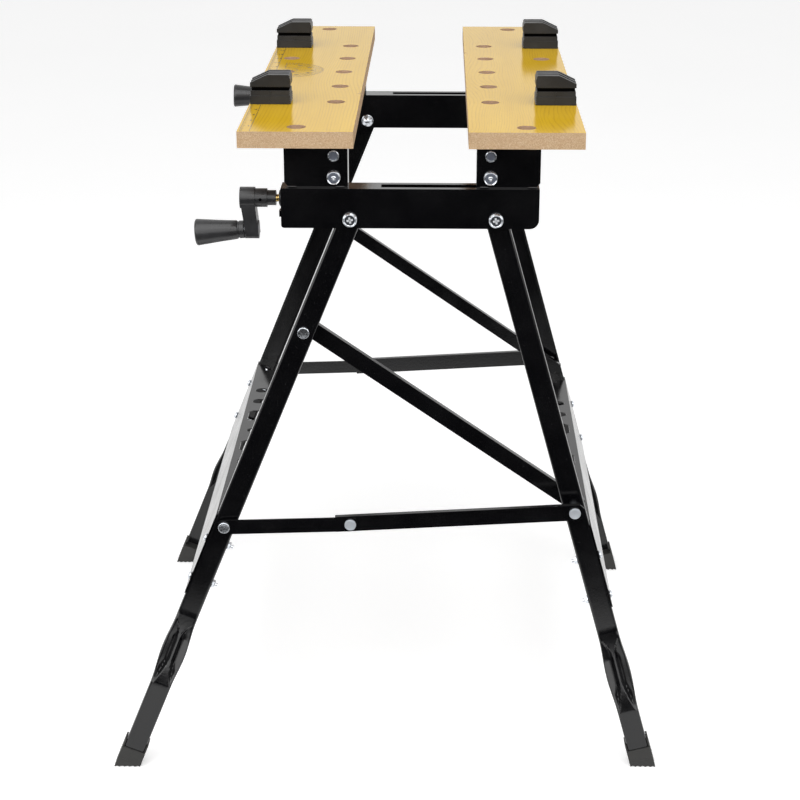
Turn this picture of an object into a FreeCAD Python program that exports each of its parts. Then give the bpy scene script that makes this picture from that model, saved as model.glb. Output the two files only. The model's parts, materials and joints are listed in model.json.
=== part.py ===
import FreeCAD, Part
import math
import os

import Sketcher
from FreeCAD import Placement, Rotation, Vector

# Folding clamping workbench: two worktop jaws on two cross beams, on folding channel-section legs.
# Millimetres, +Z up. The jaws' long edges run along Y, and the clamping travel along X.
# The origin is the centre of the object's footprint, on the floor.
# Sketch and primitive sizes are in the bench's own frame, whose origin is the point of the worktop
# surface over the middle of the beams; place() then lifts each sub-part to its height on the floor.
# "Depth" is the distance from the middle plane (Y = 0) towards either end of the jaws.
# The near end (negative Y) is modelled, and the far end is its mirror image.

DIMENSIONS = {
    # whole bench
    "worktop_height": 695.0,
    "beam_centre": 25.477,
    # how far a cutting tool passes its surface, or a joined solid sinks into its neighbour
    "passing": 1.0,
    # worktop jaws
    "board_length": 605.0,
    "board_width": 108.0,
    "board_thick": 15.6,
    "left_board_centre": -105.7,
    "right_board_centre": 109.2,
    "dog_hole": 18.0,
    "hole_edge": 23.0,
    "hole_pitch": 81.0,
    "end_hole_reach": 280.5,
    "jaw_groove_place": 118.0,
    "jaw_groove_half": 2.6,
    "jaw_groove_deep": 4.0,
    # cross beams, inverted channels
    "beam_length": 250.0,
    "beam_top": -68.0,
    "beam_tall": 39.2,
    "beam_outer": 244.4,
    "beam_inner": 218.6,
    "beam_sheet": 1.5,
    "beam_round_left": 3.0,
    "beam_round_right": 9.0,
    "guide_slot_start": -28.0,
    "guide_slot_end": 116.0,
    "guide_slot_wide": 12.0,
    "end_plate_thick": 2.0,
    "end_plate_inset": 0.3,
    "end_plate_gap": 0.1,
    "end_plate_tall": 27.2,
    "end_plate_tab": 2.4,
    "end_plate_tab_tall": 6.0,
    "end_plate_tab_wide": 9.0,
    # brackets between beam and jaw
    "bracket_wide": 61.6,
    "bracket_outer": 239.8,
    "left_bracket_start": -121.6,
    "right_bracket_start": 64.0,
    "bracket_sheet": 2.0,
    "bracket_chamfer": 5.0,
    "bracket_lift": 0.1,
    "bracket_bolt_in": 13.6,
    "bracket_bolt_drop": 57.9,
    "bracket_rivet_drop": 36.7,
    "bracket_bolt": 8.0,
    "bracket_bolt_head": 14.0,
    "bracket_bolt_head_tall": 4.2,
    "bracket_bolt_tail": 8.0,
    "bracket_nut_tall": 6.4,
    "bracket_rivet": 6.0,
    "bracket_rivet_head": 11.5,
    "bracket_rivet_tail": 10.0,
    "rivet_head_tall": 1.6,
    "wood_screw_in": 14.0,
    "wood_screw_edge": 6.5,
    "wood_screw": 4.0,
    "wood_screw_deep": 11.0,
    "wood_screw_head": 8.0,
    "wood_screw_head_tall": 2.6,
    # leg pivots and legs, channels open towards the middle of the bench
    "pivot_drop": -98.6,
    "left_pivot": -58.2,
    "right_pivot": 83.4,
    "pivot_screw": 6.0,
    "pivot_head": 14.7,
    "pivot_head_tall": 4.0,
    "pivot_nut": 13.0,
    "pivot_nut_tall": 8.4,
    "pivot_nut_floor": 1.2,
    "left_lean": 22.1,
    "right_lean": 15.6,
    "leg_wide": 22.0,
    "leg_deep": 10.4,
    "leg_sheet": 1.5,
    "left_leg_outer": 242.7,
    "right_leg_outer": 231.6,
    "leg_joggle": 22.8,
    "left_joggle_start": 462.0,
    "left_joggle_end": 538.0,
    "right_joggle_start": 466.0,
    "right_joggle_end": 552.0,
    "leg_end_gap": 16.0,
    "leg_top_reach": 10.5,
    "leg_top_shoulder": 4.0,
    "leg_top_half": 4.0,
    "foot_tall": 31.0,
    "foot_skin": 1.3,
    "foot_deep": 19.0,
    "foot_front_skin": 1.5,
    "foot_fit": 0.03,
    # linkage: a brace from left leg to right leg, and a two-piece stay that locks straight
    "running_gap": 0.06,
    "tight_gap": 0.04,
    "link_rivet": 8.0,
    "left_brace_pivot": 125.4,
    "left_stay_pivot": 350.9,
    "right_link_pivot": 318.3,
    "link_sheet": 1.6,
    "pin_shoulder": 0.1,
    "brace_pin_head": 11.7,
    "stay_pin_head": 12.0,
    "pin_tail": 11.0,
    "pin_head_tall": 2.2,
    "pin_tail_tall": 2.0,
    "stay_end_head_tall": 2.6,
    "brace_outer": 218.2,
    "brace_wide": 16.5,
    "brace_flange": 6.0,
    "brace_end": 9.0,
    "stay_long_inner": 244.8,
    "stay_long_wide": 16.8,
    "stay_long_length": 229.82,
    "stay_flange": 5.6,
    "stay_stop": 15.0,
    "stay_long_end": 10.0,
    "stay_end_chamfer": 4.0,
    "stay_short_inner": 246.6,
    "stay_short_wide": 15.6,
    "stay_short_length": 129.9,
    # cross panels between the legs
    "panel_start": 343.0,
    "panel_tall": 96.0,
    "panel_sheet": 1.2,
    "panel_flange": 27.0,
    "panel_root": 11.0,
    "panel_flange_half": 208.0,
    "panel_root_gap": 4.0,
    "panel_fit": 0.05,
    "tool_hole_row": 13.5,
    "small_tool_hole": 11.0,
    "round_tool_hole": 15.0,
    "tool_slot_wide": 16.0,
    "tool_slot_long": 32.0,
    "tool_slot_corner": 4.0,
    "tool_slot_place": 48.0,
    "inner_tool_hole_place": 96.0,
    "outer_tool_hole_place": 134.0,
    "left_panel_bolt": 373.0,
    "right_panel_bolt": 379.0,
    "panel_bolt_pitch": 47.0,
    "panel_bolt": 4.0,
    "panel_bolt_head": 8.0,
    "panel_bolt_head_tall": 2.8,
    "panel_bolt_tail": 6.2,
    "panel_nut": 7.6,
    "panel_nut_tall": 3.2,
    # clamping screws, cranks and grips
    "screw_drop": -80.3,
    "screw_depth": 231.5,
    "lead_screw": 8.0,
    "screw_start": -160.0,
    "screw_end": 118.0,
    "jaw_nut_centre": 94.8,
    "jaw_nut_length": 36.0,
    "jaw_nut_half": 9.0,
    "jaw_nut_drop": 6.1,
    "jaw_nut_stud_tall": 2.0,
    "jaw_nut_slack": 0.3,
    "bush_flange": 17.0,
    "bush_flange_thick": 1.2,
    "bush_barrel": 14.0,
    "bush_length": 7.0,
    "crank_throw": 31.7,
    "crank_start": -165.4,
    "crank_hub": 21.0,
    "crank_hub_length": 14.6,
    "crank_collar": 18.3,
    "crank_collar_end": -138.9,
    "crank_nose": 14.8,
    "crank_nose_end": -130.2,
    "crank_arm_thick": 18.4,
    "crank_arm_inset": 0.3,
    "crank_arm_lean": 5.2,
    "crank_arm_spread": 3.9,
    "crank_arm_past": 4.8,
    "grip_boss": 18.0,
    "grip_boss_start": 4.2,
    "grip_boss_end": 3.2,
    "crank_pin": 3.0,
    "crank_pin_place": -145.2,
    "crank_pin_reach": 8.4,
    "grip_tilt": 4.1,
    "grip_axle": 6.0,
    "grip_axle_root": 10.0,
    "grip_length": 42.0,
    "grip_neck": 7.0,
    "grip_neck_wide": 17.4,
    "grip_gap": 0.8,
    "grip_end_wall": 5.0,
    "grip_small": 18.3,
    "grip_large": 26.3,
    "far_crank_turn": 115.0,
    "far_crank_out": 5.4,
    # bench dogs
    "dog_long": 40.0,
    "dog_wide": 29.0,
    "dog_tall": 29.5,
    "dog_lift": 0.05,
    "dog_peg": 17.9,
    "dog_peg_deep": 14.0,
    "dog_peg_offset": 2.0,
    "dog_slope_run": 16.0,
    "dog_slope_fall": 9.0,
    "dog_waist_low": 14.5,
    "dog_waist_high": 19.5,
    "dog_waist_deep": 3.0,
    "dog_rib_deep": 1.2,
    "dog_rib_wide": 2.0,
}


def derived_dimensions(d):
    """Lengths and angles that follow from the driving dimensions."""
    rise = d["worktop_height"] + d["pivot_drop"]
    out = {}
    for side in ("left", "right"):
        lean = math.radians(d[side + "_lean"])
        out[side + "_leg_length"] = rise / math.cos(lean)
        out[side + "_sole_slope"] = math.tan(lean)
        out[side + "_leg_turn"] = 90 + d[side + "_lean"] * (1 if side == "left" else -1)
    out["grip_slope"] = math.tan(math.radians(d["grip_tilt"]))

    # turning the far crank about its screw also moves the origin that its placement is given for
    turn = math.radians(d["far_crank_turn"])
    depth, height = d["screw_depth"], d["worktop_height"] + d["screw_drop"]
    out["far_crank_y"] = depth - depth * math.cos(turn) - height * math.sin(turn)
    out["far_crank_z"] = height + depth * math.sin(turn) - height * math.cos(turn)

    def on_leg(side, distance):
        lean = math.radians(d[side + "_lean"]) * (-1 if side == "left" else 1)
        return (d[side + "_pivot"] + distance * math.sin(lean),
                d["pivot_drop"] - distance * math.cos(lean))

    brace_top = on_leg("left", d["left_brace_pivot"])
    stay_left = on_leg("left", d["left_stay_pivot"])
    link_right = on_leg("right", d["right_link_pivot"])
    across, down = link_right[0] - brace_top[0], brace_top[1] - link_right[1]
    out["brace_x"], out["brace_z"] = brace_top
    out["brace_length"] = math.hypot(across, down)
    out["brace_turn"] = math.degrees(math.atan2(down, across))

    # the stay's middle pivot lies a little below the straight line between its ends
    short, long = d["stay_short_length"], d["stay_long_length"]
    across, up = link_right[0] - stay_left[0], link_right[1] - stay_left[1]
    span = math.hypot(across, up)
    line = math.atan2(up, across)
    opening = math.acos((short ** 2 + span ** 2 - long ** 2) / (2 * short * span))
    middle = (stay_left[0] + short * math.cos(line - opening),
              stay_left[1] + short * math.sin(line - opening))
    out["stay_x"], out["stay_z"] = stay_left
    out["stay_short_turn"] = -math.degrees(line - opening)
    out["stay_middle_x"], out["stay_middle_z"] = middle
    rise_to_right = math.atan2(link_right[1] - middle[1], link_right[0] - middle[0])
    out["stay_long_turn"] = -math.degrees(rise_to_right)
    return out


CELLS = dict(DIMENSIONS)
CELLS.update(derived_dimensions(DIMENSIONS))

doc = FreeCAD.newDocument("folding_workbench")
sheet = doc.addObject("Spreadsheet::Sheet", "Dims")
sub_parts = []


def fill_sheet():
    """Give every dimension a cell that holds a plain number and has its name as alias."""
    for row, (alias, number) in enumerate(CELLS.items(), start=1):
        sheet.set("A%d" % row, alias)
        sheet.set("B%d" % row, repr(round(number, 5)))
        sheet.setAlias("B%d" % row, alias)
    doc.recompute()


def ex(text):
    """Write an expression's cell names as references to the sheet."""
    words = text.replace("(", " ( ").replace(")", " ) ").split()
    return " ".join("Dims." + word if word in CELLS else word for word in words)


def value(text):
    """The present number behind an expression."""
    result = sheet.evalExpression(ex(text))
    return float(getattr(result, "Value", result))


def minus(text):
    return "0 - ( " + text + " )"


def bind(obj, prop, text):
    obj.setExpression(prop, ex(text))


# ---------------------------------------------------------------- sketches and features

def new_body(name):
    return doc.addObject("PartDesign::Body", name)


def new_sketch(body, plane, offset="0", tilt=None, base=None):
    """A sketch on an origin plane of its body: moved along the plane's normal, or tilted about Y."""
    sketch = body.newObject("Sketcher::SketchObject", body.Name + "_sketch")
    support = [f for f in body.Origin.OriginFeatures if f.Role == plane][0]
    sketch.AttachmentSupport = [(support, "")]
    sketch.MapMode = "FlatFace"
    if tilt is None:
        bind(sketch, "AttachmentOffset.Base.z", offset)
        return sketch
    sketch.AttachmentOffset = Placement(Vector(), Rotation(Vector(0, 1, 0), value(tilt)))
    bind(sketch, "AttachmentOffset.Rotation.Angle", tilt)
    bind(sketch, "AttachmentOffset.Base.x", base[0])
    bind(sketch, "AttachmentOffset.Base.z", base[1])
    return sketch


def fix_point(sketch, geometry, point, x, y):
    """Tie a point to the sketch's origin by two distances, or to an axis where one is zero."""
    for kind, text, axis in (("DistanceX", x, -2), ("DistanceY", y, -1)):
        number = value(text)
        if abs(number) < 1e-9:
            sketch.addConstraint(Sketcher.Constraint("PointOnObject", geometry, point, axis))
            continue
        constraint = Sketcher.Constraint(kind, -1, 1, geometry, point, number)
        bind(sketch, "Constraints[%d]" % sketch.addConstraint(constraint), text)


def polygon(sketch, points):
    """A closed outline whose corners are pairs of expressions."""
    corners = [Vector(value(x), value(y), 0) for x, y in points]
    first = sketch.GeometryCount
    count = len(corners)
    for i in range(count):
        sketch.addGeometry(Part.LineSegment(corners[i], corners[(i + 1) % count]), False)
    for i in range(count):
        joint = Sketcher.Constraint("Coincident", first + i, 2, first + (i + 1) % count, 1)
        sketch.addConstraint(joint)
    for i, (x, y) in enumerate(points):
        fix_point(sketch, first + i, 1, x, y)


def rectangle(sketch, x0, x1, y0, y1):
    polygon(sketch, [(x0, y0), (x1, y0), (x1, y1), (x0, y1)])


def circle(sketch, x, y, diameter):
    centre = Vector(value(x), value(y), 0)
    index = sketch.addGeometry(Part.Circle(centre, Vector(0, 0, 1), value(diameter) / 2), False)
    fix_point(sketch, index, 3, x, y)
    size = sketch.addConstraint(Sketcher.Constraint("Diameter", index, value(diameter)))
    bind(sketch, "Constraints[%d]" % size, diameter)


def pad(body, sketch, length, backwards=False, middle=False):
    feature = body.newObject("PartDesign::Pad", body.Name + "_pad")
    feature.Profile = sketch
    bind(feature, "Length", length)
    feature.Reversed = backwards
    feature.Midplane = middle
    body.Tip = feature
    doc.recompute()


def pocket(body, sketch, length=None, backwards=False, middle=False):
    """Cut the sketch out of the body, through everything when no length is given."""
    before = body.Shape.Volume
    feature = body.newObject("PartDesign::Pocket", body.Name + "_pocket")
    feature.Profile = sketch
    if length is None:
        feature.Type = "ThroughAll"
    else:
        bind(feature, "Length", length)
    feature.Reversed = backwards
    feature.Midplane = middle
    body.Tip = feature
    doc.recompute()
    if body.Shape.Volume > before - 1e-6:
        raise RuntimeError("a pocket removed nothing from " + body.Name)


def round_edges(body, radius, **where):
    """Fillet the straight edges whose ends all lie at the given x, y or z."""
    base = body.Tip
    names = []
    for number, edge in enumerate(base.Shape.Edges, start=1):
        ends = [vertex.Point for vertex in edge.Vertexes]
        near = [abs(getattr(p, axis) - at) < 1e-3 for p in ends for axis, at in where.items()]
        if len(ends) == 2 and all(near):
            names.append("Edge%d" % number)
    if not names:
        raise RuntimeError("no edge to round on " + body.Name)
    feature = body.newObject("PartDesign::Fillet", body.Name + "_fillet")
    feature.Base = (base, names)
    bind(feature, "Radius", radius)
    body.Tip = feature
    doc.recompute()


# ---------------------------------------------------------------- primitives and booleans

AXES = {
    "x": Rotation(Vector(0, 1, 0), 90),
    "y": Rotation(Vector(1, 0, 0), -90),
    "z": Rotation(),
}


def box(name, x0, x1, y0, y1, z0, z1):
    """A box between two expressions along each axis."""
    solid = doc.addObject("Part::Box", name)
    for prop, low, high in (("Length", x0, x1), ("Width", y0, y1), ("Height", z0, z1)):
        bind(solid, prop, "( " + high + " ) - ( " + low + " )")
    for letter, low in zip("xyz", (x0, y0, z0)):
        bind(solid, "Placement.Base." + letter, low)
    return solid


def rod(name, axis, diameter, start, end, across=("0", "0")):
    """A cylinder along an axis between two expressions, at a place across that axis."""
    solid = doc.addObject("Part::Cylinder", name)
    solid.Placement = Placement(Vector(), AXES[axis])
    bind(solid, "Radius", "( " + diameter + " ) / 2")
    bind(solid, "Height", "( " + end + " ) - ( " + start + " )")
    position = dict(zip([letter for letter in "xyz" if letter != axis], across))
    position[axis] = start
    for letter, text in position.items():
        bind(solid, "Placement.Base." + letter, text)
    return solid


def fuse(name, solids):
    joined = doc.addObject("Part::MultiFuse", name)
    joined.Shapes = solids
    return joined


def cut(name, base, tool):
    result = doc.addObject("Part::Cut", name)
    result.Base = base
    result.Tool = tool
    return result


def group(name, solids):
    compound = doc.addObject("Part::Compound", name)
    compound.Links = solids
    return compound


def pin(name, across, *steps):
    """A stepped round pin along Y: each step is a diameter and two depths, outer then inner."""
    rods = []
    for number, (diameter, outer, inner) in enumerate(steps):
        rods.append(rod("%s_step%d" % (name, number), "y", diameter, minus(outer), minus(inner), across))
    return rods[0] if len(rods) == 1 else fuse(name, rods)


# ---------------------------------------------------------------- placing and naming sub-parts

def place(obj, x="0", z="0", turn=None):
    """Move a sub-part from the bench's own frame to its place above the floor."""
    if turn is not None:
        obj.Placement = Placement(Vector(), Rotation(Vector(0, 1, 0), value(turn)))
        bind(obj, "Placement.Rotation.Angle", turn)
    bind(obj, "Placement.Base.x", "beam_centre + " + x)
    bind(obj, "Placement.Base.z", "worktop_height + " + z)


def keep(obj, label):
    obj.Label = label
    sub_parts.append(obj)


def mirror_of(obj, name):
    twin = doc.addObject("Part::Mirroring", name)
    twin.Source = obj
    twin.Normal = Vector(0, 1, 0)
    return twin


def near_and_far(obj, stem, x="0", z="0", turn=None):
    """Keep a near-end part and its far-end twin as two sub-parts."""
    place(obj, x, z, turn)
    keep(obj, stem + "_near")
    keep(mirror_of(obj, stem + "_twin"), stem + "_far")


def near_and_turned_far(obj, stem, x="0", z="0", turn=None):
    """As near_and_far, but the far twin is turned on its clamping screw and stands further out."""
    place(obj, x, z, turn)
    keep(obj, stem + "_near")
    twin = group(stem + "_turned", [mirror_of(obj, stem + "_twin")])
    twin.Placement = Placement(Vector(), Rotation(Vector(-1, 0, 0), value("far_crank_turn")))
    bind(twin, "Placement.Rotation.Angle", "far_crank_turn")
    bind(twin, "Placement.Base.x", "0 - far_crank_out")
    bind(twin, "Placement.Base.y", "far_crank_y")
    bind(twin, "Placement.Base.z", "far_crank_z")
    keep(twin, stem + "_far")


def both_ends(obj, label, x="0", z="0", turn=None):
    """Keep the near and far copies of the same fasteners as one sub-part."""
    place(obj, x, z, turn)
    keep(group(label + "_group", [obj, mirror_of(obj, label + "_twin")]), label)


# ---------------------------------------------------------------- worktop jaws and brackets
# INWARD is the sign of X, and of a leg's own Z, that points to the middle of the bench.

INWARD = {"left": 1, "right": -1}


def wood_screw_places(start):
    """A bracket's two worktop screws, as places along X and depths."""
    return [(start + " + wood_screw_in", "beam_inner + wood_screw_edge"),
            (start + " + bracket_wide - wood_screw_in", "bracket_outer - wood_screw_edge")]


def worktop(side, centre, start):
    """One jaw board with dog holes, an upright groove in its face and pilot holes for screws."""
    body = new_body("worktop_" + side)
    outline = new_sketch(body, "XY_Plane")
    rectangle(outline, centre + " - board_width / 2", centre + " + board_width / 2",
              "0 - board_length / 2", "board_length / 2")
    pad(body, outline, "board_thick", backwards=True)
    holes = new_sketch(body, "XY_Plane")
    for sign in ("-", "+"):
        column = centre + " " + sign + " ( board_width / 2 - hole_edge )"
        for step in range(-2, 3):
            circle(holes, column, "hole_pitch * ( %d )" % step, "dog_hole")
        circle(holes, centre, "0 " + sign + " end_hole_reach", "dog_hole")
    pocket(body, holes)
    pilots = new_sketch(body, "XY_Plane", "0 - board_thick")
    for x, depth in wood_screw_places(start):
        for sign in ("-", "+"):
            circle(pilots, x, "0 " + sign + " ( " + depth + " )", "wood_screw + running_gap")
    pocket(body, pilots, "wood_screw_deep", backwards=True)
    hand = "( %d )" % INWARD[side]
    face = centre + " + board_width / 2 * " + hand
    middle = "0 - jaw_groove_place * " + hand
    groove = new_sketch(body, "XY_Plane")
    polygon(groove, [(face + " + passing * " + hand, middle + " - jaw_groove_half"),
                     (face + " + passing * " + hand, middle + " + jaw_groove_half"),
                     (face + " - jaw_groove_deep * " + hand, middle)])
    pocket(body, groove)
    place(body)
    keep(body, "worktop_" + side)


def bracket(side, start):
    """A folded box bracket, open on the outer side, between a beam and its jaw."""
    end = start + " + bracket_wide"
    top = "0 - board_thick"
    bottom = "beam_top + bracket_lift"
    if side == "left":
        inner, outer, inward, outward = end, start, "-", "-"
        bolt_x = end + " - bracket_bolt_in"
    else:
        inner, outer, inward, outward = start, end, "+", "+"
        bolt_x = start + " + bracket_bolt_in"
    cut_in = "-" if outward == "+" else "+"
    body = new_body("bracket_" + side)
    outline = new_sketch(body, "XZ_Plane", "beam_inner")
    polygon(outline, [(inner, top), (inner, bottom),
                      (outer + " " + cut_in + " bracket_chamfer", bottom),
                      (outer, bottom + " + bracket_chamfer"), (outer, top)])
    pad(body, outline, "bracket_outer - beam_inner")
    inside = new_sketch(body, "XZ_Plane", "bracket_outer - bracket_sheet")
    rectangle(inside, inner + " " + inward + " bracket_sheet", outer + " " + outward + " passing",
              bottom + " + bracket_sheet", top + " - bracket_sheet")
    pocket(body, inside, "bracket_outer - beam_inner - 2 * bracket_sheet")
    bores = new_sketch(body, "XZ_Plane", "bracket_outer + passing")
    circle(bores, bolt_x, "0 - bracket_bolt_drop", "bracket_bolt + running_gap")
    circle(bores, bolt_x, "0 - bracket_rivet_drop", "bracket_rivet + running_gap")
    pocket(body, bores)
    screws = new_sketch(body, "XY_Plane", top)
    for x, depth in wood_screw_places(start):
        circle(screws, x, minus(depth), "wood_screw + running_gap")
    pocket(body, screws, "bracket_sheet + passing")
    if side == "right":
        stud = new_sketch(body, "XY_Plane", bottom + " + bracket_sheet + passing")
        circle(stud, "jaw_nut_centre", "0 - screw_depth", "guide_slot_wide")
        pocket(body, stud, "bracket_sheet + 2 * passing")
    near_and_far(body, "bracket_" + side)
    bracket_fasteners(side, bolt_x)


def bracket_fasteners(side, bolt_x):
    """A through bolt with its nut and a through rivet for each bracket."""
    at_bolt = (bolt_x, "0 - bracket_bolt_drop")
    bolt = pin("bracket_bolt_" + side, at_bolt,
               ("bracket_bolt_head", "bracket_outer + bracket_bolt_head_tall", "bracket_outer"),
               ("bracket_bolt", "bracket_outer + passing", "beam_inner - bracket_bolt_tail"))
    blank = pin("bracket_nut_blank_" + side, at_bolt,
                ("bracket_bolt_head", "beam_inner", "beam_inner - bracket_nut_tall"))
    bore = pin("bracket_nut_bore_" + side, at_bolt,
               ("bracket_bolt + running_gap", "beam_inner + passing",
                "beam_inner - bracket_nut_tall - passing"))
    nut = cut("bracket_nut_" + side, blank, bore)
    both_ends(group("bracket_bolt_set_" + side, [bolt, nut]), "bracket_bolts_" + side)
    rivet = pin("bracket_rivet_" + side, (bolt_x, "0 - bracket_rivet_drop"),
                ("bracket_rivet_head", "bracket_outer + rivet_head_tall", "bracket_outer"),
                ("bracket_rivet", "bracket_outer + passing", "beam_inner - passing"),
                ("bracket_rivet_tail", "beam_inner", "beam_inner - rivet_head_tall"))
    both_ends(rivet, "bracket_rivets_" + side)


def worktop_screws(side, start):
    """Wood screws driven up through the brackets into the jaw."""
    under = "0 - board_thick - bracket_sheet"
    screws = []
    for number, (x, depth) in enumerate(wood_screw_places(start)):
        name = "wood_screw_%s_%d" % (side, number)
        at = (x, minus(depth))
        shank = rod(name + "_shank", "z", "wood_screw", under + " - passing",
                    "0 - board_thick + wood_screw_deep - passing", at)
        head = rod(name + "_head", "z", "wood_screw_head", under + " - wood_screw_head_tall",
                   under, at)
        screws.append(fuse(name, [shank, head]))
    both_ends(group("worktop_screw_set_" + side, screws), "worktop_screws_" + side)


# ---------------------------------------------------------------- cross beams

def beam():
    """An inverted channel with rounded lower corners and a guide slot in its top."""
    half = "beam_length / 2"
    bottom = "beam_top - beam_tall"
    body = new_body("beam")
    outline = new_sketch(body, "XZ_Plane", "beam_inner")
    rectangle(outline, "0 - " + half, half, bottom, "beam_top")
    pad(body, outline, "beam_outer - beam_inner")
    inside = new_sketch(body, "XZ_Plane", "beam_outer - beam_sheet")
    rectangle(inside, "0 - " + half + " - passing", half + " + passing", bottom + " - passing",
              "beam_top - beam_sheet")
    pocket(body, inside, "beam_outer - beam_inner - 2 * beam_sheet")
    round_edges(body, "beam_round_right", x=value(half), z=value(bottom))
    round_edges(body, "beam_round_left", x=-value(half), z=value(bottom))
    slot = new_sketch(body, "XY_Plane", "beam_top")
    rectangle(slot, "guide_slot_start", "guide_slot_end",
              "0 - screw_depth - guide_slot_wide / 2", "0 - screw_depth + guide_slot_wide / 2")
    pocket(body, slot, "beam_sheet + passing")
    pivots = new_sketch(body, "XZ_Plane", "beam_outer + passing")
    for x in ("left_pivot", "right_pivot"):
        circle(pivots, x, "pivot_drop", "pivot_screw + running_gap")
    pocket(body, pivots)
    near_and_far(body, "beam")


def beam_end_plate():
    """The plate that closes the crank end of a beam, with the screw's bush and a bent tab."""
    start = "0 - beam_length / 2 + end_plate_inset"
    gap = "( beam_sheet + end_plate_gap )"
    top = "beam_top - " + gap
    body = new_body("beam_end_plate")
    face = new_sketch(body, "YZ_Plane", start)
    rectangle(face, "0 - beam_outer + " + gap, "0 - beam_inner - " + gap,
              "beam_top - end_plate_tall", top)
    pad(body, face, "end_plate_thick")
    tab = new_sketch(body, "YZ_Plane", start + " - end_plate_inset - end_plate_tab")
    rectangle(tab, "0 - screw_depth - end_plate_tab_wide / 2",
              "0 - screw_depth + end_plate_tab_wide / 2",
              "beam_top - end_plate_tall - end_plate_tab_tall / 2",
              "beam_top - end_plate_tall + end_plate_tab_tall / 2")
    pad(body, tab, "end_plate_tab + end_plate_inset + end_plate_thick")
    bore = new_sketch(body, "YZ_Plane", start + " + end_plate_thick + passing")
    circle(bore, "0 - screw_depth", "screw_drop", "bush_barrel + running_gap")
    pocket(body, bore)
    near_and_far(body, "beam_end_plate")


def screw_bushes():
    """Flanged bushes that carry the clamping screws in the end plates."""
    face = "0 - beam_length / 2 + end_plate_inset"
    at = ("0 - screw_depth", "screw_drop")
    flange = rod("bush_flange_rod", "x", "bush_flange", face + " - bush_flange_thick",
                 face + " - end_plate_gap", at)
    barrel = rod("bush_barrel_rod", "x", "bush_barrel", face + " - bush_flange_thick",
                 face + " + bush_length", at)
    bore = rod("bush_bore", "x", "lead_screw + running_gap", face + " - bush_flange_thick - passing",
               face + " + bush_length + passing", at)
    both_ends(cut("bush", fuse("bush_blank", [flange, barrel]), bore), "screw_bushes")


def leg_pivot_fasteners():
    """Pan-head pivot screws for both legs, with domed nuts on the inner faces."""
    reach = "pivot_nut_tall + pivot_nut_floor"
    screws = []
    nuts = []
    for x in ("left_pivot", "right_pivot"):
        at = (x, "pivot_drop")
        screws.append(pin(x + "_screw", at,
                          ("pivot_head", "beam_outer + pivot_head_tall", "beam_outer"),
                          ("pivot_screw", "beam_outer + passing", "beam_inner - " + reach)))
        blank = pin(x + "_nut_blank", at, ("pivot_nut", "beam_inner", "beam_inner - pivot_nut_tall"))
        bore = pin(x + "_nut_bore", at, ("pivot_screw + running_gap", "beam_inner + passing",
                                         "beam_inner - " + reach + " - pin_shoulder"))
        nuts.append(cut(x + "_nut", blank, bore))
    both_ends(group("pivot_screw_set", screws), "leg_pivot_screws")
    both_ends(group("pivot_nut_set", nuts), "leg_pivot_nuts")


# ---------------------------------------------------------------- clamping screws and cranks

def jaw_nut():
    """The nut block that draws the moving jaw along, with its stud through the beam's slot."""
    half = "jaw_nut_length / 2"
    block = box("jaw_nut_block", "jaw_nut_centre - " + half, "jaw_nut_centre + " + half,
                "0 - screw_depth - jaw_nut_half", "0 - screw_depth + jaw_nut_half",
                "screw_drop - jaw_nut_drop", "beam_top - beam_sheet - jaw_nut_slack")
    stud = rod("jaw_nut_stud", "z", "guide_slot_wide - pin_shoulder", "screw_drop + lead_screw",
               "beam_top + bracket_sheet + jaw_nut_stud_tall", ("jaw_nut_centre", "0 - screw_depth"))
    bore = rod("jaw_nut_bore", "x", "lead_screw + running_gap",
               "jaw_nut_centre - " + half + " - passing", "jaw_nut_centre + " + half + " + passing",
               ("0 - screw_depth", "screw_drop"))
    near_and_far(cut("jaw_nut", fuse("jaw_nut_blank", [block, stud]), bore), "jaw_nut")


def lead_screw():
    at = ("0 - screw_depth", "screw_drop")
    screw = rod("lead_screw_rod", "x", "lead_screw", "screw_start", "screw_end", at)
    near_and_turned_far(group("lead_screw", [screw]), "lead_screw")


def crank():
    """The moulded crank: stepped boss on the screw, slanted arm and the boss for the grip."""
    at = ("0 - screw_depth", "screw_drop")
    low = "screw_drop - crank_throw"
    hub_end = "crank_start + crank_hub_length"
    grip_face = "crank_start + grip_boss_start"
    arm_end = low + " - crank_arm_past"
    arm = new_body("crank_arm")
    side = new_sketch(arm, "XZ_Plane", "screw_depth")
    polygon(side, [("crank_start + crank_arm_inset", "screw_drop"),
                   (hub_end + " - crank_arm_inset", "screw_drop"),
                   (hub_end + " - crank_arm_inset + crank_arm_spread", arm_end),
                   ("crank_start + crank_arm_inset + crank_arm_lean", arm_end)])
    pad(arm, side, "crank_arm_thick", middle=True)
    blank = fuse("crank_blank", [
        rod("crank_hub_rod", "x", "crank_hub", "crank_start", hub_end, at),
        rod("crank_collar_rod", "x", "crank_collar", hub_end + " - passing", "crank_collar_end", at),
        rod("crank_nose_rod", "x", "crank_nose", "crank_collar_end - passing", "crank_nose_end", at),
        rod("crank_grip_boss", "x", "grip_boss", grip_face, hub_end + " + grip_boss_end",
            ("0 - screw_depth", low)),
        arm])
    axle_bore = rod("crank_axle_bore", "x", "grip_axle + tight_gap", grip_face + " - passing",
                    grip_face + " + grip_axle_root + pin_shoulder",
                    ("0 - screw_depth", low + " - passing * grip_slope"))
    axle_bore.Placement.Rotation = Rotation(Vector(0, 1, 0), 90 - value("grip_tilt"))
    tools = fuse("crank_holes", [
        rod("crank_bore", "x", "lead_screw + tight_gap", "screw_start - pin_shoulder",
            "crank_nose_end + passing", at),
        rod("crank_pin_bore", "y", "crank_pin + tight_gap", "0 - screw_depth - crank_hub",
            "0 - screw_depth", ("crank_pin_place", "screw_drop")),
        axle_bore])
    near_and_turned_far(cut("crank", blank, tools), "crank")


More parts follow.
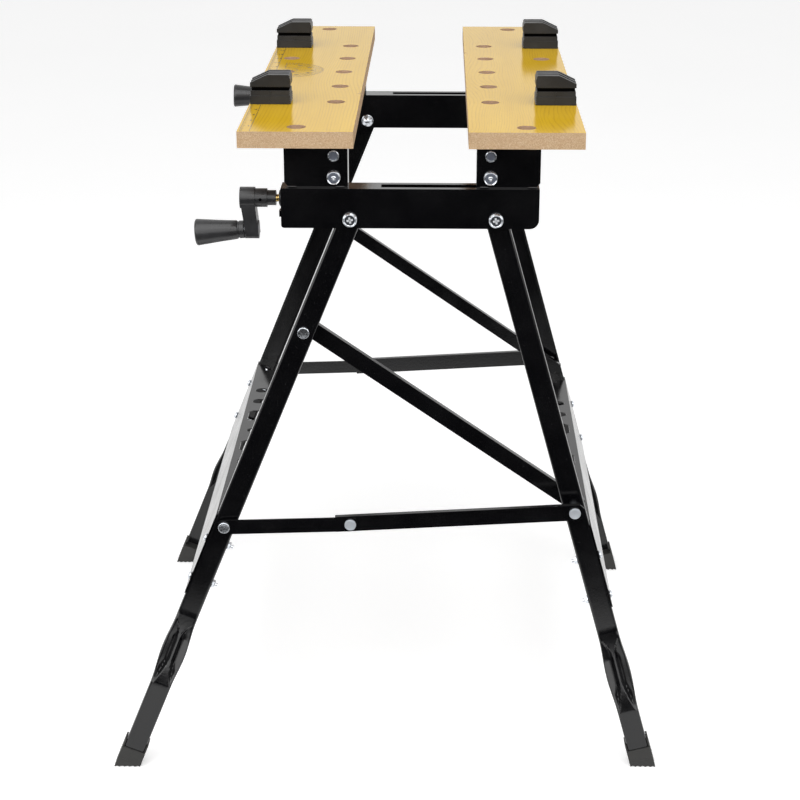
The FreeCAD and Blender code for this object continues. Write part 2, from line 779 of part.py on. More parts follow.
def crank_pin():
    """The roll pin that locks the crank's boss on the screw."""
    roll_pin = rod("crank_pin_rod", "y", "crank_pin", "0 - screw_depth - crank_pin_reach",
                   "0 - screw_depth - lead_screw / 2 - pin_shoulder",
                   ("crank_pin_place", "screw_drop"))
    near_and_turned_far(group("roll_pin", [roll_pin]), "crank_pin")


def grip():
    """The tapered grip, free to turn on its axle; both tilt slightly down at the outer end."""
    across = ("0 - screw_depth", "0")
    pivot = ("crank_start + grip_boss_start", "screw_drop - crank_throw", "0 - grip_tilt")
    neck = rod("grip_neck_rod", "x", "grip_neck_wide", "0 - grip_neck", "0 - grip_gap", across)
    cone = doc.addObject("Part::Cone", "grip_cone")
    cone.Placement = Placement(Vector(), Rotation(Vector(0, 1, 0), -90))
    bind(cone, "Radius1", "grip_small / 2")
    bind(cone, "Radius2", "grip_large / 2")
    bind(cone, "Height", "grip_length")
    bind(cone, "Placement.Base.x", "0 - grip_neck + grip_gap")
    bind(cone, "Placement.Base.y", "0 - screw_depth")
    bore = rod("grip_bore", "x", "grip_axle + running_gap", "grip_end_wall - grip_length",
               "passing", across)
    near_and_turned_far(cut("grip", fuse("grip_blank", [neck, cone]), bore), "grip", *pivot)
    axle = rod("grip_axle_rod", "x", "grip_axle", "grip_end_wall + passing - grip_length",
               "grip_axle_root", across)
    near_and_turned_far(group("grip_axle", [axle]), "grip_axle", *pivot)


# ---------------------------------------------------------------- legs, feet and panels
# Each leg is drawn in its own frame: the pivot at the origin, X down the leg, Z across it.


def leg(side):
    """A pressed channel that steps outwards in depth near its foot."""
    outer = side + "_leg_outer"
    half = "leg_wide / 2"
    step = "leg_joggle"
    stations = [("0 - leg_top_reach", "leg_top_half", "0"), ("0 - leg_top_shoulder", half, "0"),
                (side + "_joggle_start", half, "0"), (side + "_joggle_end", half, step),
                (side + "_leg_length - leg_end_gap", half, step)]
    body = new_body("leg_" + side)
    sections = []
    for along, wide, shift in stations:
        section = new_sketch(body, "YZ_Plane", along)
        web = "0 - " + outer + " - " + shift
        lip = web + " + leg_deep"
        inside = web + " + leg_sheet"
        polygon(section, [(web, minus(wide)), (lip, minus(wide)), (lip, "leg_sheet - " + wide),
                          (inside, "leg_sheet - " + wide), (inside, wide + " - leg_sheet"),
                          (lip, wide + " - leg_sheet"), (lip, wide), (web, wide)])
        sections.append(section)
    loft = body.newObject("PartDesign::AdditiveLoft", body.Name + "_loft")
    loft.Profile = sections[0]
    loft.Sections = sections[1:]
    loft.Ruled = True
    body.Tip = loft
    doc.recompute()
    pivots = {"left": (("left_brace_pivot", "link_rivet"), ("left_stay_pivot", "link_rivet")),
              "right": (("right_link_pivot", "link_rivet"),)}[side]
    holes = new_sketch(body, "XZ_Plane", outer + " + passing")
    for along, size in (("0", "pivot_screw"),) + pivots:
        circle(holes, along, "0", size + " + running_gap")
    pocket(body, holes, "leg_deep")
    bolts = new_sketch(body, "XY_Plane")
    for step_count in (0, 1):
        circle(bolts, side + "_panel_bolt + %d * panel_bolt_pitch" % step_count,
               "0 - " + outer + " + leg_deep / 2", "panel_bolt + running_gap")
    pocket(body, bolts, "leg_wide + 2 * passing", middle=True)
    near_and_far(body, "leg_" + side, side + "_pivot", "pivot_drop", side + "_leg_turn")


def foot(side):
    """A moulded boot on the leg's end, with its sole level on the floor."""
    inward = INWARD[side]
    hand = "( %d )" % inward
    length = side + "_leg_length"
    wide = "( leg_wide / 2 + foot_skin )"
    slope = side + "_sole_slope * " + hand
    outer = side + "_leg_outer + leg_joggle"
    body = new_body("foot_" + side)
    outline = new_sketch(body, "XZ_Plane", outer + " + foot_front_skin - foot_deep")
    polygon(outline, [(length + " - foot_tall", minus(wide)),
                      (length + " + " + wide + " * " + slope, minus(wide)),
                      (length + " - " + wide + " * " + slope, wide),
                      (length + " - foot_tall", wide)])
    pad(body, outline, "foot_deep")
    socket = new_sketch(body, "XZ_Plane", outer + " + foot_fit")
    rectangle(socket, length + " - foot_tall - passing", length + " - leg_end_gap + foot_fit",
              "0 - leg_wide / 2 - foot_fit", "leg_wide / 2 + foot_fit")
    pocket(body, socket, "leg_deep + 2 * foot_fit")
    near_and_far(body, "foot_" + side, side + "_pivot", "pivot_drop", side + "_leg_turn")


def cross_panel(side):
    """A bent sheet across both legs: a face outside them and a level shelf with tool holes."""
    inward = INWARD[side]
    outer = side + "_leg_outer"
    skin = "( leg_wide / 2 + panel_fit )"
    back = skin + " + panel_sheet"
    body = new_body("cross_panel_" + side)
    face = new_sketch(body, "XY_Plane", minus(back) if inward > 0 else skin)
    rectangle(face, "panel_start", "panel_start + panel_tall", "0 - " + outer, outer)
    pad(body, face, "panel_sheet")
    edge = ("panel_start", "( " + back + " ) * ( %d )" % -inward)
    level = "0 - " + side + "_leg_turn"
    root = outer + " - leg_deep - panel_root_gap"
    reach = ["panel_root * ( %d )" % inward, "panel_flange * ( %d )" % inward]
    shelf = new_sketch(body, "XY_Plane", tilt=level, base=edge)
    polygon(shelf, [("0", minus(root)), (reach[0], minus(root)),
                    (reach[0], "0 - panel_flange_half"), (reach[1], "0 - panel_flange_half"),
                    (reach[1], "panel_flange_half"), (reach[0], "panel_flange_half"),
                    (reach[0], root), ("0", root)])
    pad(body, shelf, "panel_sheet", backwards=True)
    shelf_holes(body, level, edge, inward)
    bolts = new_sketch(body, "XY_Plane")
    for step_count in (0, 1):
        for sign in ("-", "+"):
            circle(bolts, side + "_panel_bolt + %d * panel_bolt_pitch" % step_count,
                   "0 " + sign + " ( " + outer + " - leg_deep / 2 )", "panel_bolt + running_gap")
    pocket(body, bolts, "leg_wide + 4 * panel_sheet + passing", middle=True)
    place(body, side + "_pivot", "pivot_drop", side + "_leg_turn")
    keep(body, "cross_panel_" + side)


def shelf_holes(body, level, edge, inward):
    """A small hole at mid-shelf, with an oblong slot and two round holes to either side."""
    hand = " * ( %d )" % inward
    cutouts = new_sketch(body, "XY_Plane", tilt=level, base=edge)
    circle(cutouts, "tool_hole_row" + hand, "0", "small_tool_hole")
    for sign in ("-", "+"):
        for distance in ("inner_tool_hole_place", "outer_tool_hole_place"):
            circle(cutouts, "tool_hole_row" + hand, "0 " + sign + " " + distance, "round_tool_hole")
        slot = [("tool_slot_wide / 2", "tool_slot_long / 2 - tool_slot_corner"),
                ("tool_slot_wide / 2 - tool_slot_corner", "tool_slot_long / 2")]
        slot += [("0 - ( " + x + " )", y) for x, y in reversed(slot)]
        slot += [(x, minus(y)) for x, y in reversed(slot)]
        polygon(cutouts, [("( tool_hole_row + " + x + " )" + hand,
                           "0 " + sign + " tool_slot_place + " + y) for x, y in slot])
    pocket(body, cutouts, "2 * panel_sheet + 2 * passing", middle=True)


def panel_fasteners(side):
    """Bolts through panel and leg from outside, with their nuts on the leg's inner flange."""
    outward = -INWARD[side]
    flange = "leg_wide / 2"
    face = flange + " + panel_sheet + panel_fit"
    bolts = []
    nuts = []

    def across(name, diameter, low, high, at):
        """A rod between two distances from the leg's middle, counted towards its outside."""
        if outward > 0:
            return rod(name, "z", diameter, low, high, at)
        return rod(name, "z", diameter, minus(high), minus(low), at)

    for step_count in (0, 1):
        at = (side + "_panel_bolt + %d * panel_bolt_pitch" % step_count,
              "0 - " + side + "_leg_outer + leg_deep / 2")
        name = "panel_bolt_%s_%d" % (side, step_count)
        bolts.append(fuse(name, [
            across(name + "_head", "panel_bolt_head", face, face + " + panel_bolt_head_tall", at),
            across(name + "_shank", "panel_bolt", minus(flange + " + panel_bolt_tail"),
                   face + " + passing", at)]))
        blank = across(name + "_nut_blank", "panel_nut", minus(flange + " + panel_nut_tall"),
                       minus(flange), at)
        bore = across(name + "_nut_bore", "panel_bolt + running_gap",
                      minus(flange + " + panel_nut_tall + passing"), minus(flange + " - passing"), at)
        nuts.append(cut(name + "_nut", blank, bore))
    pivot = (side + "_pivot", "pivot_drop", side + "_leg_turn")
    both_ends(group("panel_bolt_set_" + side, bolts), "panel_bolts_" + side, *pivot)
    both_ends(group("panel_nut_set_" + side, nuts), "panel_nuts_" + side, *pivot)


# ---------------------------------------------------------------- braces, stays and their rivets

def brace():
    """A flanged strut from the left leg to the right leg, on the inner side of both."""
    half = "brace_wide / 2"
    body = new_body("brace")
    web = new_sketch(body, "XZ_Plane", "brace_outer - link_sheet")
    rectangle(web, "0 - brace_end", "brace_length + brace_end", "0 - " + half, half)
    pad(body, web, "link_sheet")
    flange = new_sketch(body, "XZ_Plane", "brace_outer - link_sheet - brace_flange")
    rectangle(flange, "0 - brace_end", "brace_length + brace_end", half + " - link_sheet", half)
    pad(body, flange, "brace_flange + link_sheet / 2")
    holes = new_sketch(body, "XZ_Plane", "brace_outer + passing")
    circle(holes, "0", "0", "link_rivet + running_gap")
    pocket(body, holes, "link_sheet + 2 * passing")
    near_and_far(body, "brace", "brace_x", "brace_z", "brace_turn")


def stay_short():
    """The flat round-ended link of the stay, hinged on the left leg."""
    body = new_body("stay_short")
    bar = new_sketch(body, "XZ_Plane", "stay_short_inner")
    rectangle(bar, "0", "stay_short_length", "0 - stay_short_wide / 2", "stay_short_wide / 2")
    pad(body, bar, "link_sheet")
    for along in ("0", "stay_short_length"):
        end = new_sketch(body, "XZ_Plane", "stay_short_inner")
        circle(end, along, "0", "stay_short_wide")
        pad(body, end, "link_sheet")
    holes = new_sketch(body, "XZ_Plane", "stay_short_inner + link_sheet + passing")
    for along in ("0", "stay_short_length"):
        circle(holes, along, "0", "link_rivet + running_gap")
    pocket(body, holes)
    near_and_far(body, "stay_short", "stay_x", "stay_z", "stay_short_turn")


def stay_long():
    """The flanged link of the stay; its flange overlaps the short link as the locking stop."""
    half = "stay_long_wide / 2"
    end = "stay_long_length + stay_long_end"
    shoulder = end + " - stay_end_chamfer"
    body = new_body("stay_long")
    web = new_sketch(body, "XZ_Plane", "stay_long_inner")
    polygon(web, [("0 - stay_stop", minus(half)), (shoulder, minus(half)),
                  (end, "stay_end_chamfer - " + half), (end, half + " - stay_end_chamfer"),
                  (shoulder, half), ("0 - stay_stop", half)])
    pad(body, web, "link_sheet")
    flange = new_sketch(body, "XZ_Plane", "stay_long_inner")
    rectangle(flange, "0 - stay_stop", shoulder + " - passing", half, half + " + link_sheet")
    pad(body, flange, "stay_flange")
    holes = new_sketch(body, "XZ_Plane", "stay_long_inner + link_sheet + passing")
    for along in ("0", "stay_long_length"):
        circle(holes, along, "0", "link_rivet + running_gap")
    pocket(body, holes, "link_sheet + 2 * passing")
    near_and_far(body, "stay_long", "stay_middle_x", "stay_middle_z", "stay_long_turn")


def link_rivets():
    """Pivot rivets fixed in the legs, and those that ride on the stay's long link."""
    face = "left_leg_outer"
    behind_brace = "brace_outer - link_sheet - pin_shoulder"
    at_brace = pin("brace_rivet", ("left_brace_pivot", "0"),
                   ("brace_pin_head", face + " + pin_head_tall", face),
                   ("link_rivet", face + " + passing", behind_brace + " - passing"),
                   ("pin_tail", behind_brace, behind_brace + " - pin_tail_tall"))
    cap = "stay_short_inner + link_sheet + pin_shoulder"
    behind_left = face + " - leg_sheet"
    at_stay = pin("stay_rivet", ("left_stay_pivot", "0"),
                  ("stay_pin_head", cap + " + pin_head_tall", cap),
                  ("link_rivet", cap + " + passing", behind_left + " - passing"),
                  ("pin_tail", "stay_short_inner - pin_shoulder", face),
                  ("pin_tail", behind_left, behind_left + " - pin_tail_tall"))
    both_ends(group("left_rivet_set", [at_brace, at_stay]), "link_rivets_left",
              "left_pivot", "pivot_drop", "left_leg_turn")
    behind_right = "right_leg_outer - leg_sheet"
    at_right = pin("right_rivet", ("right_link_pivot", "0"),
                   ("link_rivet", "stay_long_inner - pin_shoulder", behind_right + " - passing"),
                   ("pin_tail", behind_right, behind_right + " - pin_tail_tall"))
    both_ends(at_right, "link_rivets_right", "right_pivot", "pivot_drop", "right_leg_turn")
    middle = pin("stay_middle_rivet", ("0", "0"),
                 ("stay_pin_head", cap + " + pin_head_tall", cap),
                 ("link_rivet", cap + " + passing", "stay_long_inner - passing"),
                 ("pin_tail", "stay_long_inner - pin_shoulder / 2",
                  "stay_long_inner - pin_shoulder / 2 - rivet_head_tall"))
    over = "stay_long_inner + link_sheet"
    end = pin("stay_end_rivet", ("stay_long_length", "0"),
              ("stay_pin_head", over + " + stay_end_head_tall", over),
              ("link_rivet", over + " + passing", "stay_long_inner"))
    near_and_far(group("stay_rivet_set", [middle, end]), "stay_rivets",
                 "stay_middle_x", "stay_middle_z", "stay_long_turn")


# ---------------------------------------------------------------- bench dogs

def dog(side, centre):
    """A moulded bench dog: ribbed jaw block on a round peg that drops in a worktop hole."""
    toward = INWARD[side]
    hand = "( %d )" % toward
    peg_x = centre + " - ( board_width / 2 - hole_edge ) * " + hand
    outer = "( 0 - dog_long / 2 - dog_peg_offset ) * " + hand
    inner = "( dog_long / 2 - dog_peg_offset ) * " + hand
    row = "0 - 2 * hole_pitch"
    top = "dog_lift + dog_tall"
    body = new_body("dog_" + side)
    profile = new_sketch(body, "XZ_Plane", "2 * hole_pitch")
    polygon(profile, [(outer, "dog_lift"), (inner, "dog_lift"), (inner, top),
                      (outer + " + dog_slope_run * " + hand, top),
                      (outer, top + " - dog_slope_fall")])
    pad(body, profile, "dog_wide", middle=True)
    peg = new_sketch(body, "XY_Plane", "dog_lift + passing")
    circle(peg, "0", row, "dog_peg")
    pad(body, peg, "dog_peg_deep + passing", backwards=True)
    grooves = new_sketch(body, "YZ_Plane")
    for sign in ("-", "+"):
        side_face = row + " " + sign + " dog_wide / 2"
        rectangle(grooves, side_face + " - dog_waist_deep", side_face + " + dog_waist_deep",
                  "dog_waist_low", "dog_waist_high")
    pocket(body, grooves, "3 * dog_long", middle=True)
    ribs = new_sketch(body, "XZ_Plane", "2 * hole_pitch")
    for level in ("dog_tall / 7", "dog_tall / 3", "dog_tall * 0.8"):
        rectangle(ribs, inner + " - dog_rib_deep", inner + " + dog_rib_deep", level,
                  level + " + dog_rib_wide")
    pocket(body, ribs, "2 * dog_wide", middle=True)
    near_and_far(body, "dog_" + side, "( " + peg_x + " )")


# ---------------------------------------------------------------- the whole bench

def build():
    fill_sheet()
    for side in ("left", "right"):
        centre = side + "_board_centre"
        start = side + "_bracket_start"
        worktop(side, centre, start)
        bracket(side, start)
        worktop_screws(side, start)
        leg(side)
        foot(side)
        cross_panel(side)
        panel_fasteners(side)
        dog(side, centre)
    beam()
    beam_end_plate()
    screw_bushes()
    leg_pivot_fasteners()
    jaw_nut()
    lead_screw()
    crank()
    crank_pin()
    grip()
    brace()
    stay_short()
    stay_long()
    link_rivets()
    doc.recompute()


def check():
    """Refuse to write anything if an object failed or a shape is empty or broken."""
    for obj in doc.Objects:
        if "Invalid" in obj.State or "Error" in obj.State:
            raise RuntimeError(obj.Name + " failed: " + ", ".join(obj.State))
    for obj in sub_parts:
        if obj.Shape.isNull() or not obj.Shape.isValid() or not obj.Shape.Solids:
            raise RuntimeError(obj.Label + " has no valid solid")


def export():
    os.makedirs("parts", exist_ok=True)
    for obj in sub_parts:
        obj.Shape.exportStep("parts/" + obj.Label + ".step")


build()
check()
export()
print(len(sub_parts), "sub-parts written")
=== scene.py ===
import json
import math

import bmesh
import bpy
from mathutils import Matrix, Vector


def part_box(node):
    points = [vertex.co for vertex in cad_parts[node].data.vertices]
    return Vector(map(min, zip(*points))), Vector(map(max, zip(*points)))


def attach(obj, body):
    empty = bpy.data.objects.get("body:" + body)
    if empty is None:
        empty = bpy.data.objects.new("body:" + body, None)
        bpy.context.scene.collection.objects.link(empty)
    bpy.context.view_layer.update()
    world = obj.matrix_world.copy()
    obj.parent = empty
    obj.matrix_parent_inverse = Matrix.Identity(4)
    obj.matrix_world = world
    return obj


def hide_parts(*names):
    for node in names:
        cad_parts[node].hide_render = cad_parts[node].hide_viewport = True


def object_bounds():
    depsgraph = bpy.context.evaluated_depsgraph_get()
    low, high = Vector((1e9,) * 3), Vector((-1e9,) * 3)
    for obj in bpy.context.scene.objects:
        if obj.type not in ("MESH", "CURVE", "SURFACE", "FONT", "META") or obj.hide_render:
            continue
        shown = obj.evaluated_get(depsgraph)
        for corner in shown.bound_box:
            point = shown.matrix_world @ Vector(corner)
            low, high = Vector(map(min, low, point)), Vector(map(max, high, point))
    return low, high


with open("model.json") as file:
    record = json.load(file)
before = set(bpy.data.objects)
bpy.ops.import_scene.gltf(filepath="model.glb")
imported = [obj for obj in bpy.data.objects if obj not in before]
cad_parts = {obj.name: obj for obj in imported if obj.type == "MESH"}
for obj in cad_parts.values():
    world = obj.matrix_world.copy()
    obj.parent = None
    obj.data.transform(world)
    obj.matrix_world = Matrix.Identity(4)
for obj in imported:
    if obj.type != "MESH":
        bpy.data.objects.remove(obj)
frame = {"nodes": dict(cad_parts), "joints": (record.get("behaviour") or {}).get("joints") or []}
cad_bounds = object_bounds()

# Looks for the folding clamping workbench. The row frame is in metres; pieces are drawn in
# millimetres and scaled on the way in. +X runs across the jaws, and the near end is negative Y.

MM = 0.001
NODES = frame["nodes"]
JOINTS = {joint["name"]: joint for joint in frame["joints"]}
SIDES = ("left", "right")
ENDS = ("near", "far")
INWARD = {"left": 1, "right": -1}
JAW_BODY = {"left": "frame", "right": "moving_jaw"}
GRAIN_PITCH = 3.1 * MM


# ---------------------------------------------------------------- shader node helpers

def new_material(name):
    """A node material, its tree and its main shader."""
    material = bpy.data.materials.new(name)
    material.use_nodes = True
    return material, material.node_tree, material.node_tree.nodes["Principled BSDF"]


def add(tree, kind, inputs=None, **settings):
    """Add a shader node; an input is a value or the socket that feeds it."""
    node = tree.nodes.new("ShaderNode" + kind)
    for name, setting in settings.items():
        setattr(node, name, setting)
    for name, entry in (inputs or {}).items():
        if isinstance(entry, bpy.types.NodeSocket):
            tree.links.new(entry, node.inputs[name])
        else:
            node.inputs[name].default_value = entry
    return node


def math_node(tree, operation, first, second=0.0):
    """One arithmetic step on one or two numbers."""
    return add(tree, "Math", {0: first, 1: second}, operation=operation).outputs[0]


def coordinates(tree, stretch=(1, 1, 1)):
    """The piece's own coordinates in metres, so that a pattern stays on it as it moves."""
    place = add(tree, "TexCoord").outputs["Object"]
    return add(tree, "Mapping", {"Vector": place, "Scale": stretch}).outputs[0]


def noise(tree, vector, scale, detail=3.0, roughness=0.55):
    """Cloudy noise from 0 to 1, with its scale in cycles per metre."""
    inputs = {"Vector": vector, "Scale": scale, "Detail": detail, "Roughness": roughness}
    return add(tree, "TexNoise", inputs).outputs[0]


def ramp(tree, factor, *stops):
    """A colour ramp through (position, colour) stops."""
    node = add(tree, "ValToRGB", {"Fac": factor})
    points = node.color_ramp.elements
    while len(points) < len(stops):
        points.new(1.0)
    for point, (position, colour) in zip(points, stops):
        point.position = position
        point.color = (*colour, 1)
    return node.outputs["Color"]


def level(tree, value, low, high, to_low=0.0, to_high=1.0):
    """Stretch the range from low to high onto another range, and clamp beyond it."""
    inputs = {"Value": value, "From Min": low, "From Max": high, "To Min": to_low, "To Max": to_high}
    return add(tree, "MapRange", inputs).outputs[0]


def blend(tree, factor, first, second):
    """Mix two numbers."""
    return add(tree, "Mix", {0: factor, 2: first, 3: second}, data_type="FLOAT").outputs[0]


def mix(tree, factor, first, second):
    """Mix two colours."""
    node = add(tree, "Mix", {0: factor}, data_type="RGBA")
    for index, entry in ((6, first), (7, second)):
        if isinstance(entry, bpy.types.NodeSocket):
            tree.links.new(entry, node.inputs[index])
        else:
            node.inputs[index].default_value = (*entry, 1)
    return node.outputs[2]


def bump(tree, shader, height, distance, strength=1.0):
    """Roughen a shader's surface by a height pattern, a distance in metres deep."""
    node = add(tree, "Bump", {"Height": height, "Distance": distance, "Strength": strength})
    tree.links.new(node.outputs[0], shader.inputs["Normal"])


def feed(tree, shader, **entries):
    """Set shader inputs by name, with _ for a space."""
    for name, entry in entries.items():
        socket = shader.inputs[name.replace("_", " ")]
        if isinstance(entry, bpy.types.NodeSocket):
            tree.links.new(entry, socket)
        else:
            socket.default_value = entry


# ---------------------------------------------------------------- materials

def painted_steel():
    """Gloss black powder coat: slight orange peel, uneven gloss and a few specks of dust."""
    material, tree, shader = new_material("gloss_black_coat")
    place = coordinates(tree)
    cloud = noise(tree, place, 28, 4)
    specks = level(tree, noise(tree, place, 900, 1), 0.74, 0.78)
    coat = mix(tree, cloud, (0.0005, 0.0005, 0.0008), (0.0018, 0.0018, 0.0023))
    feed(tree, shader, Base_Color=mix(tree, specks, coat, (0.03, 0.03, 0.03)),
         Roughness=level(tree, cloud, 0.3, 0.7, 0.13, 0.22), IOR=1.52)
    bump(tree, shader, noise(tree, place, 420, 2), 0.00012, 0.35)
    return material


def plated_steel(name, dark, light, rough_low, rough_high):
    """Plated steel with a faint brushed grain and stains in the plating."""
    material, tree, shader = new_material(name)
    brushed = noise(tree, coordinates(tree, (1, 1, 9)), 260, 3)
    stains = noise(tree, coordinates(tree), 120, 3)
    feed(tree, shader, Base_Color=mix(tree, stains, dark, light), Metallic=1.0,
         Roughness=level(tree, brushed, 0.3, 0.7, rough_low, rough_high))
    bump(tree, shader, brushed, 0.00006, 0.4)
    return material


def moulded_plastic(name, colour, rough, grain_size, grain_depth, index=1.48):
    """Moulded plastic or rubber: fine grain, paler rubbed patches and uneven sheen."""
    material, tree, shader = new_material(name)
    place = coordinates(tree)
    rubbed = noise(tree, place, 55, 5, 0.65)
    paler = tuple(channel * 1.7 for channel in colour)
    feed(tree, shader, Base_Color=mix(tree, level(tree, rubbed, 0.42, 0.75), colour, paler),
         Roughness=level(tree, rubbed, 0.3, 0.7, rough - 0.07, rough + 0.09), IOR=index)
    bump(tree, shader, noise(tree, place, 1.0 / grain_size, 3), grain_depth, 0.5)
    return material


def fibreboard_colour(tree):
    """Sawn fibreboard: fine brown and cream flecks."""
    flecks = noise(tree, coordinates(tree), 1100, 4, 0.75)
    patches = noise(tree, coordinates(tree, (1, 1, 3)), 90, 3)
    fine = ramp(tree, flecks, (0.28, (0.32, 0.192, 0.098)), (0.5, (0.495, 0.340, 0.200)),
                (0.70, (0.70, 0.56, 0.40)))
    return mix(tree, level(tree, patches, 0.4, 0.7, 0.0, 0.30), fine, (0.52, 0.34, 0.19))


def wood_print_colour(tree, figure):
    """Golden print with wavering grain lines and short pores along Y; figure scales the waver."""
    parts = add(tree, "SeparateXYZ", {0: add(tree, "TexCoord").outputs["Object"]})
    drift = noise(tree, coordinates(tree, (7, 2.2, 1)), figure, 1.5)
    shiver = noise(tree, coordinates(tree, (60, 14, 1)), figure, 2)
    wander = math_node(tree, "ADD", math_node(tree, "MULTIPLY", drift, 0.060),
                       math_node(tree, "MULTIPLY", shiver, 0.0022))
    phase = math_node(tree, "MULTIPLY", math_node(tree, "ADD", parts.outputs["X"], wander),
                      2 * math.pi / GRAIN_PITCH)
    lines = math_node(tree, "SINE", phase)
    faint = noise(tree, coordinates(tree, (160, 9, 1)), figure, 2)
    strength = level(tree, faint, 0.35, 0.65, 0.10, 0.40)
    pores = noise(tree, coordinates(tree, (1500, 90, 1)), 1.0, 3, 0.7)
    tone = noise(tree, coordinates(tree, (34, 5, 1)), 1.3, 3)
    ground = mix(tree, tone, (0.57, 0.340, 0.011), (0.70, 0.442, 0.024))
    depth = math_node(tree, "MULTIPLY", level(tree, lines, 0.2, 1.0), strength)
    lined = mix(tree, depth, ground, (0.36, 0.19, 0.012))
    return mix(tree, level(tree, pores, 0.56, 0.74, 0.0, 0.32), lined, (0.36, 0.20, 0.015))


def worktop_material(side, figure):
    """Glossy wood print on top, sawn fibreboard on the edges, and painted shade inside the holes and
    on the underside, darker towards the bottom.
    """
    low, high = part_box("worktop_" + side)
    centre, half = (low + high) / 2, (high - low) / 2
    material, tree, shader = new_material("worktop_" + side + "_finish")
    coordinate = add(tree, "TexCoord")
    facing = add(tree, "SeparateXYZ", {0: coordinate.outputs["Normal"]}).outputs["Z"]
    parts = add(tree, "SeparateXYZ", {0: coordinate.outputs["Object"]})
    skin = 3 * MM
    inside = 1.0
    for axis, middle, reach in (("X", centre.x, half.x), ("Y", centre.y, half.y)):
        away = math_node(tree, "ABSOLUTE", math_node(tree, "SUBTRACT", parts.outputs[axis], middle))
        inside = math_node(tree, "MULTIPLY", inside, math_node(tree, "LESS_THAN", away, reach - skin))
    board = fibreboard_colour(tree)
    # Painted shade: inside the board's outline, on the hole walls and the underside, the board darkens
    # towards the bottom.
    depth = level(tree, parts.outputs["Z"], low.z, high.z, 0.3, 1.0)
    hole = mix(tree, depth, (0.20, 0.12, 0.075), mix(tree, 0.5, board, (0.52, 0.33, 0.24)))
    edge = mix(tree, inside, board, hole)
    top = level(tree, facing, 0.75, 0.95)
    feed(tree, shader, Base_Color=mix(tree, top, edge, wood_print_colour(tree, figure)),
         Roughness=level(tree, top, 0.0, 1.0, 0.8, 0.13), IOR=1.2)
    rough_edge = math_node(tree, "MULTIPLY", noise(tree, coordinates(tree), 900, 4, 0.8),
                           level(tree, top, 0.0, 1.0, 1.0, 0.06))
    bump(tree, shader, rough_edge, 0.0003, 0.6)
    return material


def printed_ink():
    """Thin dark ink, paler where it has worn."""
    material, tree, shader = new_material("printed_ink")
    worn = noise(tree, coordinates(tree), 700, 3)
    feed(tree, shader, Base_Color=mix(tree, worn, (0.012, 0.009, 0.006), (0.06, 0.045, 0.02)),
         Roughness=level(tree, worn, 0.3, 0.7, 0.2, 0.4))
    return material


BLACK = painted_steel()
ZINC = plated_steel("zinc_plate", (0.50, 0.53, 0.57), (0.80, 0.83, 0.87), 0.16, 0.34)
DULL_ZINC = plated_steel("dull_zinc_plate", (0.42, 0.45, 0.49), (0.62, 0.65, 0.69), 0.42, 0.60)
# A dark zinc disc for the pivot screws' recesses: painted shade.
RECESS_SHADE = plated_steel("recess_shadow_plate", (0.035, 0.038, 0.044), (0.08, 0.084, 0.095), 0.4, 0.6)
# A dark zinc for the bracket bolts' recess floors and the rivets' dished faces: painted shade.
SHADE_FACE_ZINC = plated_steel("painted_shade_zinc_plate", (0.12, 0.135, 0.17), (0.22, 0.24, 0.29), 0.45, 0.62)
# A pale matt zinc for the pivot screws' driver crosses: a painted highlight.
HIGHLIGHT_ZINC = moulded_plastic("painted_highlight_zinc_plate", (0.60, 0.62, 0.65), 0.40, 0.0006, 0.00002)
SHADE = moulded_plastic("groove_shadow", (0.0004, 0.0004, 0.0004), 0.8, 0.0009, 0.00002, 1.08)
YELLOW_ZINC = plated_steel("yellow_zinc_plate", (0.50, 0.33, 0.10), (0.83, 0.66, 0.30), 0.18, 0.36)
CRANK_PLASTIC = moulded_plastic("crank_moulding", (0.0155, 0.0155, 0.0165), 0.30, 0.0012, 0.000012)
DOG_PLASTIC = moulded_plastic("dog_moulding", (0.0125, 0.0125, 0.0127), 0.40, 0.0009, 0.00008, 1.40)
RUBBER = moulded_plastic("foot_rubber_moulding", (0.014, 0.0137, 0.0125), 0.62, 0.0007, 0.00012)
INK = printed_ink()
BOARDS = {"left": worktop_material("left", 1.0), "right": worktop_material("right", 1.7)}


# ---------------------------------------------------------------- mesh helpers

def put(centre, direction=(0, 0, 1)):
    """Matrix from millimetres about a local Z axis to the row frame's metres."""
    turn = Vector(direction).to_track_quat("Z", "Y").to_matrix().to_4x4()
    return Matrix.Translation(centre) @ turn @ Matrix.Scale(MM, 4)


def add_loop_stack(bm, loops):
    """Skin a list of equal closed loops of points, and cap both ends."""
    rings = [[bm.verts.new(point) for point in loop] for loop in loops]
    for first, second in zip(rings, rings[1:]):
        for i in range(len(first)):
            j = (i + 1) % len(first)
            bm.faces.new((first[i], first[j], second[j], second[i]))
    bm.faces.new(list(reversed(rings[0])))
    bm.faces.new(rings[-1])


def add_prism(bm, outline, low, high, place):
    """Extrude an outline of (across, up) points between two depths along local Y."""
    loops = [[place @ Vector((x, depth, z)) for x, z in outline] for depth in (low, high)]
    add_loop_stack(bm, loops)


def add_bar(bm, across, up, depths, place):
    """A rectangular block between pairs of across, up and depth values."""
    (x0, x1), (z0, z1) = across, up
    add_prism(bm, [(x0, z0), (x1, z0), (x1, z1), (x0, z1)], *depths, place)


def add_lathe(bm, profile, place, segments=40):
    """Turn a (radius, height) profile about local Z, with a flat cap at each end."""
    loops = []
    for radius, height in profile:
        ring = []
        for i in range(segments):
            angle = 2 * math.pi * i / segments
            ring.append(place @ Vector((radius * math.cos(angle), radius * math.sin(angle), height)))
        loops.append(ring)
    add_loop_stack(bm, loops)


def arc(centre, radius, start, end, steps=6):
    """Points on a circle in a profile, between two angles in degrees."""
    turns = [math.radians(start + (end - start) * i / steps) for i in range(steps + 1)]
    return [(centre[0] + radius * math.cos(a), centre[1] + radius * math.sin(a)) for a in turns]


